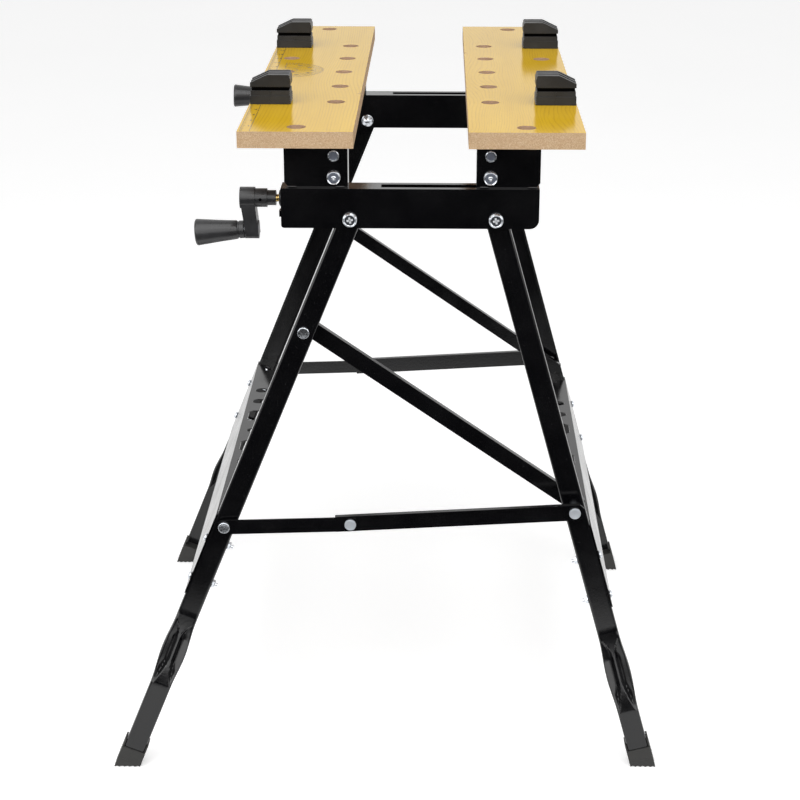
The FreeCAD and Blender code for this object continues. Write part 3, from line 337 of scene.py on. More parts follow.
def make_piece(name, bm, body, material, slot, replaces=(), bevel=0.0, angle=35):
    """Turn a bmesh into a piece that rides on a body; edges sharper than the angle stay sharp."""
    bmesh.ops.recalc_face_normals(bm, faces=bm.faces)
    mesh = bpy.data.meshes.new(name)
    bm.to_mesh(mesh)
    bm.free()
    for polygon in mesh.polygons:
        polygon.use_smooth = True
    mesh.set_sharp_from_angle(angle=math.radians(angle))
    mesh.materials.append(material)
    piece = bpy.data.objects.new(name, mesh)
    bpy.context.scene.collection.objects.link(piece)
    if bevel:
        soften(piece, bevel, angle)
    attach(piece, body)
    if replaces:
        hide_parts(*replaces)


def soften(piece, width, angle=35):
    """Round a piece's sharp edges as pressing or moulding leaves them."""
    rounding = piece.modifiers.new("rounded_edges", "BEVEL")
    rounding.width = width * MM
    rounding.segments = 3
    rounding.limit_method = "ANGLE"
    rounding.angle_limit = math.radians(angle)
    shading = piece.modifiers.new("face_normals", "WEIGHTED_NORMAL")
    shading.keep_sharp = True


def far_copy(bm):
    """The mirror image of a near-end mesh, for the far end."""
    twin = bm.copy()
    bmesh.ops.transform(twin, matrix=Matrix.Diagonal((1, -1, 1, 1)), verts=twin.verts)
    bmesh.ops.reverse_faces(twin, faces=twin.faces)
    return twin


def make_leg_pair(part, side, suffix, bm, material, slot, **look):
    """Put a near-end piece of a side's legs in place of its CAD node, with its far twin."""
    for end, mesh in (("near", bm), ("far", far_copy(bm))):
        node = "%s_%s_%s" % (part, side, end)
        make_piece(node + suffix, mesh, side + "_legs", material, slot, [node], **look)


def solids(node, view=Matrix.Identity(4)):
    """Boxes of the separate solids of a CAD node, as seen through a matrix."""
    bm = bmesh.new()
    bm.from_mesh(NODES[node].data)
    bmesh.ops.remove_doubles(bm, verts=bm.verts, dist=1e-7)
    left, boxes = set(bm.verts), []
    while left:
        island, front = [], [min(left, key=lambda vert: vert.index)]
        left.discard(front[0])
        while front:
            vert = front.pop()
            island.append(view @ vert.co)
            for edge in vert.link_edges:
                other = edge.other_vert(vert)
                if other in left:
                    left.discard(other)
                    front.append(other)
        low = Vector([min(point[i] for point in island) for i in range(3)])
        high = Vector([max(point[i] for point in island) for i in range(3)])
        boxes.append((low, high))
    bm.free()
    return sorted(boxes, key=lambda box: tuple(round(c, 5) for c in box[0]))


def is_near(box):
    """Whether a solid stands on the near side of the middle plane."""
    return box[0].y + box[1].y < 0


def outward(box):
    """Direction away from the middle plane for a solid at either end."""
    return Vector((0, -1 if is_near(box) else 1, 0))


def outer_end(box):
    """The middle of a solid's outermost face across Y."""
    middle = (box[0] + box[1]) / 2
    middle.y = box[0].y if is_near(box) else box[1].y
    return middle


def inner_end(box):
    """The middle of a solid's innermost face across Y."""
    middle = (box[0] + box[1]) / 2
    middle.y = box[1].y if is_near(box) else box[0].y
    return middle


# ---------------------------------------------------------------- CAD nodes that stay

def finish_node(node, material, rounding=0.0, angle=40):
    """Give a CAD node its procedural material, and round its edges."""
    piece = NODES[node]
    for slot in piece.material_slots:
        slot.material = material
    if rounding:
        soften(piece, rounding, angle)


def finish_kept_nodes():
    """Materials, and edge rounding in millimetres, of the CAD nodes that stay visible."""
    for side in SIDES:
        finish_node("worktop_" + side, BOARDS[side], 0.35)
        finish_node("cross_panel_" + side, BLACK, 0.35)
        for end in ENDS:
            finish_node("bracket_%s_%s" % (side, end), BLACK, 0.9)
    for end in ENDS:
        finish_node("beam_" + end, BLACK, 0.65)
        finish_node("beam_end_plate_" + end, BLACK, 0.4)
        finish_node("brace_" + end, BLACK, 0.5)
        finish_node("stay_short_" + end, BLACK, 0.4)
        finish_node("stay_long_" + end, BLACK, 0.4)
        finish_node("crank_" + end, CRANK_PLASTIC, 0.7, 50)
        finish_node("crank_pin_" + end, SHADE)
        finish_node("grip_axle_" + end, ZINC)
        finish_node("jaw_nut_" + end, YELLOW_ZINC, 0.4)


# ---------------------------------------------------------------- printed scale on the left jaw

INK_LIFT = 0.04
INK_WIDTH = 0.5
INCH = 25.4
RULE_WIDE = 11.7
RULE_TICKS_IN = 2.4
RULE_END_GAP = 2
RULE_NUMBER_IN = 2.7
ARC_RADII = (14, 34, 42)
ARC_NUMBER_RADIUS = 30


def add_line(bm, start, end, width, top):
    """A thin raised strip of ink between two points in row-frame millimetres."""
    start, end = Vector((*start, 0)), Vector((*end, 0))
    side = (end - start).normalized().cross(Vector((0, 0, 1))) * width / 2
    corners = [start + side, end + side, end - side, start - side]
    loops = []
    for height in (top - INK_LIFT, top + INK_LIFT):
        loops.append([Vector((p.x, p.y, height)) * MM for p in corners])
    add_loop_stack(bm, loops)


def printed_scale():
    """An inch rule along the jaw's outer edge and a half-round angle scale beside it."""
    low, high = (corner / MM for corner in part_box("worktop_left"))
    top = high.z
    bm = bmesh.new()
    rule_end = low.x + RULE_WIDE
    first_tick = low.x + RULE_TICKS_IN
    for x, width in ((rule_end, INK_WIDTH), (first_tick, INK_WIDTH * 0.6)):
        add_line(bm, (x, low.y + RULE_END_GAP), (x, high.y - RULE_END_GAP), width, top)
    for eighth in range(1, int((high.y - low.y - RULE_END_GAP) * 8 / INCH)):
        reach = 4.4 if eighth % 8 == 0 else (3.4 if eighth % 4 == 0 else 2.4)
        y = low.y + eighth * INCH / 8
        add_line(bm, (first_tick, y), (first_tick + reach, y), INK_WIDTH, top)
    centre = Vector((rule_end + 8.5, (low.y + high.y) / 2 + 9))
    hub, inner, outer = ARC_RADII

    def on_circle(radius, degrees):
        """A point on the angle scale, from 0 degrees at its near end."""
        angle = math.radians(degrees - 90)
        return centre + radius * Vector((math.cos(angle), math.sin(angle)))

    for radius in ARC_RADII:
        for degrees in range(0, 180, 6):
            add_line(bm, on_circle(radius, degrees), on_circle(radius, degrees + 6), INK_WIDTH, top)
    for degrees in range(0, 181, 5):
        start = inner + 2.5 if degrees % 15 else (hub if degrees % 45 == 0 else inner)
        add_line(bm, on_circle(start, degrees), on_circle(outer, degrees), INK_WIDTH, top)
    make_piece("scale_lines", bm, "frame", INK, "worktop_laminate", angle=60)
    scale_numbers(Vector((rule_end - RULE_NUMBER_IN, low.y, top)), high.y)
    angle_numbers(centre, top)


def number_piece(name, text, size, position, turn):
    """Printed digits, as a text object lying on the worktop."""
    curve = bpy.data.curves.new(name, "FONT")
    curve.body = text
    curve.size = size * MM
    curve.align_x, curve.align_y = "CENTER", "CENTER"
    curve.extrude = INK_LIFT * MM
    curve.offset = 0.12 * MM
    curve.materials.append(INK)
    piece = bpy.data.objects.new(name, curve)
    bpy.context.scene.collection.objects.link(piece)
    piece.matrix_world = Matrix.Translation(Vector(position) * MM) @ Matrix.Rotation(turn, 4, "Z")
    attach(piece, "frame")


def scale_numbers(start, y_end):
    """The rule's inch numbers, from its near end."""
    inch = 1
    while start.y + inch * INCH < y_end - 4:
        position = (start.x, start.y + inch * INCH, start.z)
        number_piece("rule_number_%02d" % inch, str(inch), 6.0, position, 0.0)
        inch += 1


def angle_numbers(centre, top):
    """Degrees round the angle scale, up to 90 and down again."""
    for degrees in range(30, 180, 30):
        angle = math.radians(degrees - 90)
        position = (centre.x + ARC_NUMBER_RADIUS * math.cos(angle),
                    centre.y + ARC_NUMBER_RADIUS * math.sin(angle), top)
        number_piece("angle_number_%d" % degrees, str(min(degrees, 180 - degrees)), 5.4, position,
                     angle - math.pi / 2)


# ---------------------------------------------------------------- legs

SHEET = 1.5
LEG_HALF = 11.0
LEG_DEEP = 10.4
BEND = 2.2
TOP_ROUND = ((0, 4.0), (1.2, 6.6), (3.2, 9.0), (6.5, LEG_HALF))
STEP_SPAN = {"left": (462, 538), "right": (466, 552)}
STEP_SIDEWAYS = 22.8
STEP_EASE = 0.03
DENT_DEEP = 5.6
DENT_SWELL = 2.2


def joint_place(name):
    """A joint's place in the row frame."""
    return Vector(JOINTS[name]["pos_m"])


def leg_view(side):
    """Matrix from a leg's own millimetres (X down the leg, Z across it) to the row frame."""
    if side == "left":
        pivot, lower = joint_place("leg_fold"), joint_place("stay_short_near_swing")
    else:
        pivot = joint_place("right_leg_fold")
        lower = sum(solids("link_rivets_right")[0], Vector()) / 2
    down = Vector((lower.x - pivot.x, 0, lower.z - pivot.z)).normalized()
    across = down.cross(Vector((0, 1, 0)))
    turn = Matrix((down, (0, 1, 0), across)).transposed().to_4x4()
    origin = Vector((pivot.x, 0, pivot.z))
    return Matrix.Translation(origin) @ turn @ Matrix.Scale(MM, 4)


def channel_section(half, web_points=26):
    """Closed (across, depth) outline of a bent channel; depth grows away from the web."""
    corner = half - BEND
    web = [corner - 2 * corner * i / web_points for i in range(1, web_points)]
    small = BEND - SHEET
    outer = [(half, LEG_DEEP)] + arc((corner, BEND), BEND, 0, -90)
    outer += [(across, 0.0) for across in web]
    outer += arc((-corner, BEND), BEND, -90, -180) + [(-half, LEG_DEEP)]
    inner = [(SHEET - half, LEG_DEEP)] + arc((-corner, BEND), small, -180, -90)
    inner += [(across, SHEET) for across in reversed(web)]
    inner += arc((corner, BEND), small, -90, 0) + [(half - SHEET, LEG_DEEP)]
    return outer + inner


def unit(value):
    """A value held between 0 and 1."""
    return min(max(value, 0), 1)


def leg_stations(top, length, start, end):
    """Distances down a leg, each with the half width of the channel there."""
    steps = 40
    margin = 6
    stations = [(top + run, half) for run, half in TOP_ROUND]
    stations.append((start - margin, LEG_HALF))
    for i in range(steps + 1):
        stations.append((start + (end - start) * i / steps, LEG_HALF))
    return stations + [(end + margin, LEG_HALF), (length, LEG_HALF)]


def crush(u, t):
    """Depth, from 0 to 1, of the two dents that the step presses beside a narrow ridge.

    u runs across the web from -1 to 1, and t along the dents from 0 to 1.
    """
    if not 0 < t < 1:
        return 0.0
    narrow, head_end, foot_start = 0.07, 0.22, 0.62
    head_flare = 0.80 * max(0.0, 1 - t / head_end) ** 1.5
    foot_flare = 0.75 * max(0.0, (t - foot_start) / (1 - foot_start)) ** 1.3
    ridge = narrow + head_flare + foot_flare
    valley = ridge + 0.30 * (1 - ridge)
    deep = min(1.0, t / 0.30, (1 - t) / 0.22)
    side = abs(u)
    if side < ridge:
        return 0.0
    if side < valley:
        return deep * (side - ridge) / (valley - ridge)
    return deep * (1 - 0.75 * (side - valley) / (1.001 - valley))


def build_leg(side):
    """A channel leg with a rounded top and the pressed, dented step above its foot."""
    view = leg_view(side)
    low, high = solids("leg_%s_near" % side, view.inverted())[0]
    web = low.y + STEP_SIDEWAYS
    start, end = STEP_SPAN[side]
    dent_start, dent_end = start + 7, end + 1
    loops = []
    for along, half in leg_stations(low.x, high.x, start, end):
        rise = unit((along - start) / (end - start))
        step = rise - STEP_EASE * math.sin(2 * math.pi * rise)
        dented = (along - dent_start) / (dent_end - dent_start)
        wide = half + DENT_SWELL * math.sin(math.pi * unit(dented)) ** 2
        loop = []
        for across, depth in channel_section(half):
            dent = DENT_DEEP * crush(across / half, dented) * max(0.0, 1 - depth / (LEG_DEEP * 0.8))
            deep = web - STEP_SIDEWAYS * step + depth + dent
            loop.append(view @ Vector((along, deep, across * wide / half)))
        loops.append(loop)
    bm = bmesh.new()
    add_loop_stack(bm, loops)
    make_leg_pair("leg", side, "_pressed", bm, BLACK, "gloss_black_steel", angle=16)


# ---------------------------------------------------------------- feet

def build_foot(side):
    """A rubber boot: serrated level sole, a moulded line, and side lips above the front edge."""
    view = leg_view(side)
    low, high = solids("foot_%s_near" % side, view.inverted())[0]
    front_top = low.x + 9.5
    collar_top = low.x + 10.4
    slope = view[2][2] / view[2][0]
    wide = (high.z - low.z) / 2 + 0.5
    floor_x = -view.translation.z / view[2][0]
    teeth, tooth_deep = 5, 1.3
    sole = []
    for i in range(2 * teeth + 1):
        z = wide - wide * i / teeth
        sole.append((floor_x - z * slope - (tooth_deep if i % 2 else 0.0), z))
    bm = bmesh.new()
    boot = [(front_top, wide)] + sole + [(front_top, -wide)]
    add_prism(bm, boot, low.y - 0.4, high.y, view)
    add_bar(bm, (collar_top, front_top - 0.2), (wide - 0.6, 0.6 - wide),
            (low.y + 0.2, high.y - 0.3), view)
    for sign in (-1, 1):
        lip_top = low.x + (0 if sign > 0 else 1.6)
        add_bar(bm, (lip_top, front_top + 1), (sign * wide, sign * (wide - 1.8)),
                (low.y + 1.6, high.y), view)
    add_bar(bm, (floor_x - 8.6, floor_x - 7.7), (wide + 0.25, -wide - 0.25),
            (low.y - 0.7, high.y - 1), view)
    make_leg_pair("foot", side, "_boot", bm, RUBBER, "foot_rubber", bevel=0.55)


# ---------------------------------------------------------------- fasteners

def domed_head(radius, height, edge=0.8):
    """Profile of a domed head that sits on local Z = 0 and rises to its height."""
    dome = [(radius - 0.25, 0.0), (radius, 0.3), (radius, height * 0.35)]
    dome += arc((radius - edge, height * 0.35), edge, 0, 55, 3)
    dome += [(radius * 0.62, height * 0.86), (radius * 0.34, height * 0.97), (0.001, height)]
    return [(0.001, 0.0)] + dome


def flat_head(radius, height, dish=0.35):
    """Profile of a flat rivet head with a rounded rim and a slightly dished face."""
    return ([(0.001, 0.0), (radius - 0.2, 0.0), (radius, 0.25)]
            + arc((radius - 0.8, height - 0.8), 0.8, 0, 80, 4)
            + [(radius * 0.72, height - dish * 0.4), (radius * 0.6, height - dish),
               (0.001, height - dish)])


def socket_head(radius, height, recess, deep):
    """Profile of a rounded head with a round recess in its face."""
    return ([(0.001, 0.0), (radius - 0.25, 0.0), (radius, 0.3), (radius, height * 0.42)]
            + arc((radius - 1.5, height * 0.42), 1.5, 0, 62, 4)
            + [(recess + 0.7, height), (recess, height - 0.35), (recess - 0.5, height - deep),
               (0.001, height - deep)])


def add_cross(bm, place, reach, width, low, high):
    """The four-armed driver cross in a recess."""
    for turn in (0, math.pi / 2):
        arm = place @ Matrix.Rotation(turn, 4, "Z")
        bar = [(-reach, low), (reach, low), (reach * 0.72, high), (-reach * 0.72, high)]
        add_prism(bm, bar, -width / 2, width / 2, arm)


def add_hex(bm, place, across_flats, height):
    """A chamfered six-sided nut, solid, sitting on local Z = 0."""
    radius = across_flats / math.sqrt(3)
    loops = []
    for scale, z in ((0.93, 0.0), (1.0, height * 0.16), (1.0, height * 0.84), (0.93, height)):
        loop = []
        for k in range(6):
            angle = math.radians(60 * k + 15)
            loop.append(place @ Vector((scale * radius * math.cos(angle),
                                        scale * radius * math.sin(angle), z)))
        loops.append(loop)
    add_loop_stack(bm, loops)


def add_washer(bm, place, radius, bore, thick):
    """A washer with rounded rims on local Z = 0, filled where the shank goes through."""
    add_lathe(bm, [(bore, 0), (radius - 0.2, 0), (radius, 0.2), (radius, thick - 0.2),
                   (radius - 0.2, thick), (bore, thick)], place, 40)


def shank(bm, start, end, radius):
    """A plain shank between two points in the row frame."""
    direction = end - start
    add_lathe(bm, [(0.001, 0), (radius, 0), (radius, direction.length / MM),
                   (0.001, direction.length / MM)], put(start, direction), 24)


def pivot_screws():
    """Leg pivot screws: rounded heads, each with a round recess darkened by a disc of painted shade,
    and a driver cross painted pale as a highlight.
    """
    head_tall, recess, recess_deep = 4.0, 5.0, 1.5
    bm = bmesh.new()
    shadows = bmesh.new()
    crosses = bmesh.new()
    for box in solids("leg_pivot_screws"):
        out = outward(box)
        seat = outer_end(box) - out * head_tall * MM
        place = put(seat, out)
        floor = head_tall - recess_deep
        add_lathe(bm, socket_head(7.3, head_tall, recess, recess_deep), place, 56)
        # The cross is painted pale as a highlight.
        add_cross(crosses, place @ Matrix.Rotation(math.radians(12), 4, "Z"), 3.9, 2.0,
                  floor - 0.1, head_tall - 0.5)
        shank(bm, seat, inner_end(box), 2.95)
        # A thin dark disc on the recess floor is painted shade.
        add_lathe(shadows, [(0.001, floor), (recess, floor), (recess, floor + 0.7),
                            (0.001, floor + 0.7)], place, 40)
    make_piece("leg_pivot_screws_detailed", bm, "frame", ZINC, "zinc_steel", ["leg_pivot_screws"],
               bevel=0.18, angle=50)
    make_piece("leg_pivot_recess_shade", shadows, "frame", RECESS_SHADE, "zinc_steel")
    make_piece("leg_pivot_crosses_painted_highlight", crosses, "frame", HIGHLIGHT_ZINC, "zinc_steel", bevel=0.2)
    bm = bmesh.new()
    for box in solids("leg_pivot_nuts"):
        place = put(outer_end(box), -outward(box))
        add_lathe(bm, domed_head(6.5, 8.3, 2.4), place, 40)
        add_washer(bm, place, 7.0, 3.2, 1.4)
    make_piece("leg_pivot_nuts_detailed", bm, "frame", ZINC, "zinc_steel", ["leg_pivot_nuts"],
               angle=50)


def bracket_bolts(side, bm, faces):
    """Socket bolts with a raised stud in the recess, and their hexagonal nuts."""
    head_tall, shortest_bolt = 4.2, 12
    for box in solids("bracket_bolts_" + side):
        out = outward(box)
        if (box[1].y - box[0].y) / MM < shortest_bolt:
            add_hex(bm, put(outer_end(box), -out), 13, 6.4)
            continue
        seat = outer_end(box) - out * head_tall * MM
        place = put(seat, out)
        add_lathe(bm, socket_head(6.9, head_tall, 5.6, 0.9), place, 56)
        add_lathe(bm, [(0.001, 3), (2.5, 3), (2.5, 3.6), (2.1, 4.0), (1.2, 4.15), (0.8, 3.8),
                       (0.001, 3.8)], place, 48)
        # A thin dark disc on the recess floor, round the stud, is painted shade.
        add_lathe(faces, [(0.001, 3.2), (5.5, 3.2), (5.4, 3.55), (3.9, 3.65), (0.001, 3.5)], place, 48)
        shank(bm, seat, inner_end(box), 3.9)


def bracket_rivets(side, bm, faces):
    """Flat rivets with a dark disc of painted shade in the face's dish, and a smaller tail."""
    head_tall = 1.6
    for box in solids("bracket_rivets_" + side):
        out = outward(box)
        seat = outer_end(box) - out * head_tall * MM
        tail = inner_end(box) + out * head_tall * MM
        place = put(seat, out)
        add_lathe(bm, flat_head(5.5, 1.9), place, 48)
        # A thin dark disc in the head's dish is painted shade.
        add_lathe(faces, [(0.001, 1.3), (4.3, 1.3), (4.2, 1.78), (1.6, 1.66), (0.001, 1.8)], place, 40)
        add_lathe(bm, flat_head(5.0, head_tall), put(tail, -out), 40)
        shank(bm, seat, tail, 2.9)


def bracket_fasteners(side, body):
    """The bolts and rivets of a side's two brackets, with dark discs of painted shade on their head
    faces.
    """
    # faces gathers the dark discs of painted shade on the head faces.
    faces = bmesh.new()
    bm = bmesh.new()
    bracket_bolts(side, bm, faces)
    node = "bracket_bolts_" + side
    make_piece(node + "_detailed", bm, body, ZINC, "zinc_steel", [node], bevel=0.15, angle=50)
    bm = bmesh.new()
    bracket_rivets(side, bm, faces)
    node = "bracket_rivets_" + side
    make_piece(node + "_detailed", bm, body, ZINC, "zinc_steel", [node], angle=50)
    make_piece("bracket_head_faces_" + side, faces, body, SHADE_FACE_ZINC, "zinc_steel", angle=50)


def wood_screws(side, body):
    """Screws, heads down, that hold a jaw on its two brackets."""
    head_tall = 2.6
    node = "worktop_screws_" + side
    bm = bmesh.new()
    for low, high in solids(node):
        middle = (low + high) / 2
        seat = Vector((middle.x, middle.y, low.z + head_tall * MM))
        place = put(seat, (0, 0, -1))
        add_lathe(bm, socket_head(4.0, head_tall, 2.0, 0.9), place, 32)
        add_cross(bm, place, 1.9, 0.7, 1.5, 2.2)
        shank(bm, seat, Vector((middle.x, middle.y, high.z)), 1.95)
    make_piece(node + "_detailed", bm, body, ZINC, "zinc_steel", [node], angle=50)


def panel_fasteners(side, body):
    """Small pan-head bolts outside the cross panel, with hexagonal nuts and bolt tails inside."""
    view = leg_view(side)
    back = view.inverted()
    across = Vector((view[0][2], view[1][2], view[2][2])).normalized() * -INWARD[side]
    head_tall = 2.8
    node = "panel_bolts_" + side
    bm = bmesh.new()
    for low, high in solids(node, back):
        middle = (low + high) / 2
        face, tail = (high.z - head_tall, low.z) if side == "right" else (low.z + head_tall, high.z)
        seat = view @ Vector((middle.x, middle.y, face))
        add_lathe(bm, socket_head(4.0, head_tall, 1.7, 1.0), put(seat, across), 32)
        shank(bm, seat, view @ Vector((middle.x, middle.y, tail)), 1.9)
    make_piece(node + "_detailed", bm, body, ZINC, "zinc_steel", [node], angle=50)
    node = "panel_nuts_" + side
    bm = bmesh.new()
    for low, high in solids(node, back):
        middle = (low + high) / 2
        seat = view @ Vector((middle.x, middle.y, high.z if side == "right" else low.z))
        add_hex(bm, put(seat, -across), 7.2, 3.2)
        add_washer(bm, put(seat, -across), 4.4, 2.0, 0.7)
    make_piece(node + "_detailed", bm, body, ZINC, "zinc_steel", [node], bevel=0.12, angle=50)


def link_rivets():
    """Rivets of the braces and stays: flat heads outside, washers and tails on the inner faces."""
    head_tall, tail_tall, head_cut = 2.3, 2.0, 0.5
    for node, body, material in (("link_rivets_left", "left_legs", ZINC),
                                 ("link_rivets_right", "right_legs", DULL_ZINC),
                                 ("stay_rivets_near", "stay_long_bar_near", DULL_ZINC),
                                 ("stay_rivets_far", "stay_long_bar_far", DULL_ZINC)):
        bm = bmesh.new()
        washers = bmesh.new()
        for box in solids(node):
            out = outward(box)
            head_seat = outer_end(box) - out * head_tall * MM
            tail_seat = inner_end(box) + out * tail_tall * MM
            if node != "link_rivets_right":
                add_lathe(bm, flat_head(5.9, head_tall, 0.25), put(head_seat, out), 48)
            if not node.startswith("stay_rivets"):
                add_lathe(bm, domed_head(3.4, 2.6), put(tail_seat, -out), 32)
                add_washer(washers, put(tail_seat, -out), 7.2, 3.3, 1.2)
            shank(bm, outer_end(box) - out * head_cut * MM, tail_seat, 3.9)
        make_piece(node + "_detailed", bm, body, material, "zinc_steel", [node], angle=50)
        if washers.verts:
            make_piece(node + "_washers", washers, body, BLACK, "gloss_black_steel", angle=50)
        else:
            washers.free()


# ---------------------------------------------------------------- clamping screws and grips

def threaded_rod(end):
    """The clamping screw with its rolled thread, as one helical sweep with plain ends."""
    node = "lead_screw_" + end
    low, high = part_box(node)
    centre = (low + high) / 2
    length = (high.x - low.x) / MM
    pitch, crest, root, plain_end = 4.0, 4.0, 3.35, 1.0
    segments, rings_per_turn = 16, 4
    rings = int(length / pitch * rings_per_turn)
    loops = []
    for i in range(rings + 1):
        along = length * i / rings
        plain = along < plain_end or along > length - plain_end
        ring = []
        for k in range(segments):
            angle = 2 * math.pi * k / segments
            wave = 0.5 + 0.5 * math.cos(2 * math.pi * along / pitch - angle)
            radius = root if plain else root + (crest - root) * wave ** 1.5
            ring.append(Vector((low.x + along * MM, centre.y + radius * MM * math.cos(angle),
                                centre.z + radius * MM * math.sin(angle))))
        loops.append(ring)
    bm = bmesh.new()
    add_loop_stack(bm, loops)
    make_piece(node + "_thread", bm, "crank_unit_" + end, YELLOW_ZINC, "yellow_zinc_steel", [node],
               angle=60)


def build_grip(end):
    """The tapered grip with a soft rounded end and a groove beside its collar."""
    node = "grip_" + end
    joint = JOINTS["grip_%s_spin" % end]
    start, length, widest, end_round = 0.9, 48.8, 13.1, 2.2
    profile = [(0.001, start), (3.3, start), (8.3, start), (8.7, 1.3), (8.7, 5.6), (8.0, 6.1),
               (8.0, 7.0), (8.8, 7.4), (9.2, 8.0), (9.8, 15.0), (10.7, 25.0), (11.9, 36.0),
               (widest - 0.3, length - 4.2)]
    profile += arc((widest - end_round, length - end_round), end_round, 0, 78, 6)
    profile += [(7.0, length - 0.1), (4.0, length + 0.1), (3.4, length - 0.6), (0.001, length - 0.8)]
    bm = bmesh.new()
    add_lathe(bm, profile, put(Vector(joint["pos_m"]), -Vector(joint["axis"])), 64)
    make_piece(node + "_turned", bm, "grip_unit_" + end, CRANK_PLASTIC, "crank_plastic", [node],
               angle=32)


def turned_bushes():
    """Each screw's bush, with a domed flange against the end plate."""
    flange = 1.2
    bm = bmesh.new()
    for low, high in solids("screw_bushes"):
        seat = Vector((low.x + flange * MM, (low.y + high.y) / 2, (low.z + high.z) / 2))
        add_lathe(bm, [(4.1, -7.0), (7.0, -7.0), (7.0, 0.0), (8.5, 0.0), (8.5, flange), (8.0, 2.0),
                       (6.6, 2.6), (4.6, 2.6), (4.1, 2.2)], put(seat, (-1, 0, 0)), 48)
    make_piece("screw_bushes_turned", bm, "frame", CRANK_PLASTIC, "crank_plastic", ["screw_bushes"],
               angle=40)


# ---------------------------------------------------------------- bench dogs

DOG_FACE = 20.0
DOG_REAR = -20.0
DOG_HALF = 14.5
WAIST_LOW = 13.4
WAIST_HIGH = 17.4


def add_toothed_band(bm, low, high, inset, teeth, view):
    """One layer of a dog's block, with short teeth up its jaw face."""
    face, rear = DOG_FACE - inset, DOG_REAR + inset
    pitch = (high - low) / teeth
    outline = [(rear, low)]
    for i in range(teeth):
        base = low + pitch * i
        outline += [(face - 1.0, base + pitch * 0.08), (face, base + pitch * 0.3),
                    (face, base + pitch * 0.72), (face - 1.0, base + pitch * 0.94)]
    outline.append((rear, high))
    add_prism(bm, outline, inset - DOG_HALF, DOG_HALF - inset, view)


def add_dog_head(bm, tall, view):
    """The upper block, sloped at the back, with three ribs along it and a crown across them."""
    foot, head = WAIST_HIGH - 0.4, tall - 3.4
    block = [(DOG_REAR + 0.2, foot), (DOG_FACE - 1.0, foot), (DOG_FACE - 0.2, foot + 0.8),
             (DOG_FACE - 0.2, head - 0.8), (DOG_FACE - 1.0, head), (DOG_REAR + 16.5, head),
             (DOG_REAR + 0.2, foot + 1.6)]
    add_prism(bm, block, 0.6 - DOG_HALF, DOG_HALF - 0.6, view)
    for middle, half in ((2.6 - DOG_HALF, 2.4), (0.0, 2.9), (DOG_HALF - 2.6, 2.4)):
        rib = [(DOG_REAR + 0.2, foot + 0.6), (DOG_FACE - 1.2, foot + 1.4),
               (DOG_FACE - 1.2, tall - 1.4), (DOG_FACE - 2.2, tall - 0.4),
               (DOG_REAR + 17.6, tall - 0.4), (DOG_REAR + 15.2, tall - 1.2),
               (DOG_REAR + 0.2, foot + 4.2)]
        add_prism(bm, rib, middle - half, middle + half, view)
    crown = [(DOG_REAR + 17.2, head - 1), (DOG_FACE - 0.9, head - 1), (DOG_FACE - 0.9, tall - 1.5),
             (DOG_FACE - 1.6, tall - 0.8), (DOG_REAR + 17.2, tall - 0.8)]
    add_prism(bm, crown, 1.2 - DOG_HALF, DOG_HALF - 1.2, view)


def add_dog_peg(bm, node, bottom, top):
    """The round peg in the jaw's hole, chamfered at its tip."""
    centre = Vector(JOINTS[node + "_swivel"]["pos_m"])
    deep = (top - bottom) / MM
    profile = [(0.001, 0), (7.6, 0), (8.7, 1.2), (8.9, 2.0), (8.9, deep + 1), (0.001, deep + 1)]
    add_lathe(bm, profile, put(Vector((centre.x, centre.y, bottom))), 40)


def build_dog(side, end):
    """A moulded dog: toothed jaw face, waist groove, and a stepped top that slopes at the back."""
    node = "dog_%s_%s" % (side, end)
    body = "dog_unit_%s_%s" % (side, end)
    low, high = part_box(node)
    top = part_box("worktop_" + side)[1].z
    origin = Vector(((low.x + high.x) / 2, (low.y + high.y) / 2, top + 0.05 * MM))
    view = Matrix.Translation(origin) @ Matrix.Diagonal((INWARD[side] * MM, MM, MM, 1))
    # The waist block is painted near-black as the groove's shade.
    waist = bmesh.new()
    add_bar(waist, (DOG_REAR + 1.6, DOG_FACE - 1.8), (WAIST_LOW, WAIST_HIGH),
            (1.6 - DOG_HALF, DOG_HALF - 1.6), view)
    make_piece(node + "_waist_painted_shade", waist, body, SHADE, "dog_plastic")
    bm = bmesh.new()
    add_toothed_band(bm, 0.0, 8.5, 0.0, 4, view)
    add_toothed_band(bm, 8.3, WAIST_LOW + 0.2, 0.7, 3, view)
    add_dog_head(bm, (high.z - origin.z) / MM, view)
    for middle in (0.3 - DOG_HALF, DOG_HALF - 0.3):
        add_bar(bm, (-0.3, 0.3), (0.5, WAIST_LOW - 0.2), (middle - 0.5, middle + 0.5), view)
    add_dog_peg(bm, node, low.z, top)
    make_piece(node + "_moulded", bm, body, DOG_PLASTIC, "dog_plastic", [node], bevel=0.35, angle=30)


# ---------------------------------------------------------------- weld beads

def weld_beads():
    """Short rows of weld beads along the lower corners of each bracket's face."""
    beads, spacing, corner_in = 4, 1.9, 8
    for side in SIDES:
        bm = bmesh.new()
        for end in ENDS:
            low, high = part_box("bracket_%s_%s" % (side, end))
            depth = low.y if end == "near" else high.y
            for x, sign in ((low.x + corner_in * MM, 1), (high.x - corner_in * MM, -1)):
                for i in range(beads):
                    along = x - sign * (3.2 - spacing * i) * MM
                    size = 1.5 - 0.18 * abs(i - 1.5)
                    stretch = Matrix.Diagonal((size * 1.25, size * 0.8, size, 1))
                    place = put(Vector((along, depth, low.z + 0.7 * MM))) @ stretch
                    bmesh.ops.create_icosphere(bm, subdivisions=2, radius=1, matrix=place)
        make_piece("weld_beads_" + side, bm, JAW_BODY[side], BLACK, "gloss_black_steel", angle=60)


# ---------------------------------------------------------------- build everything

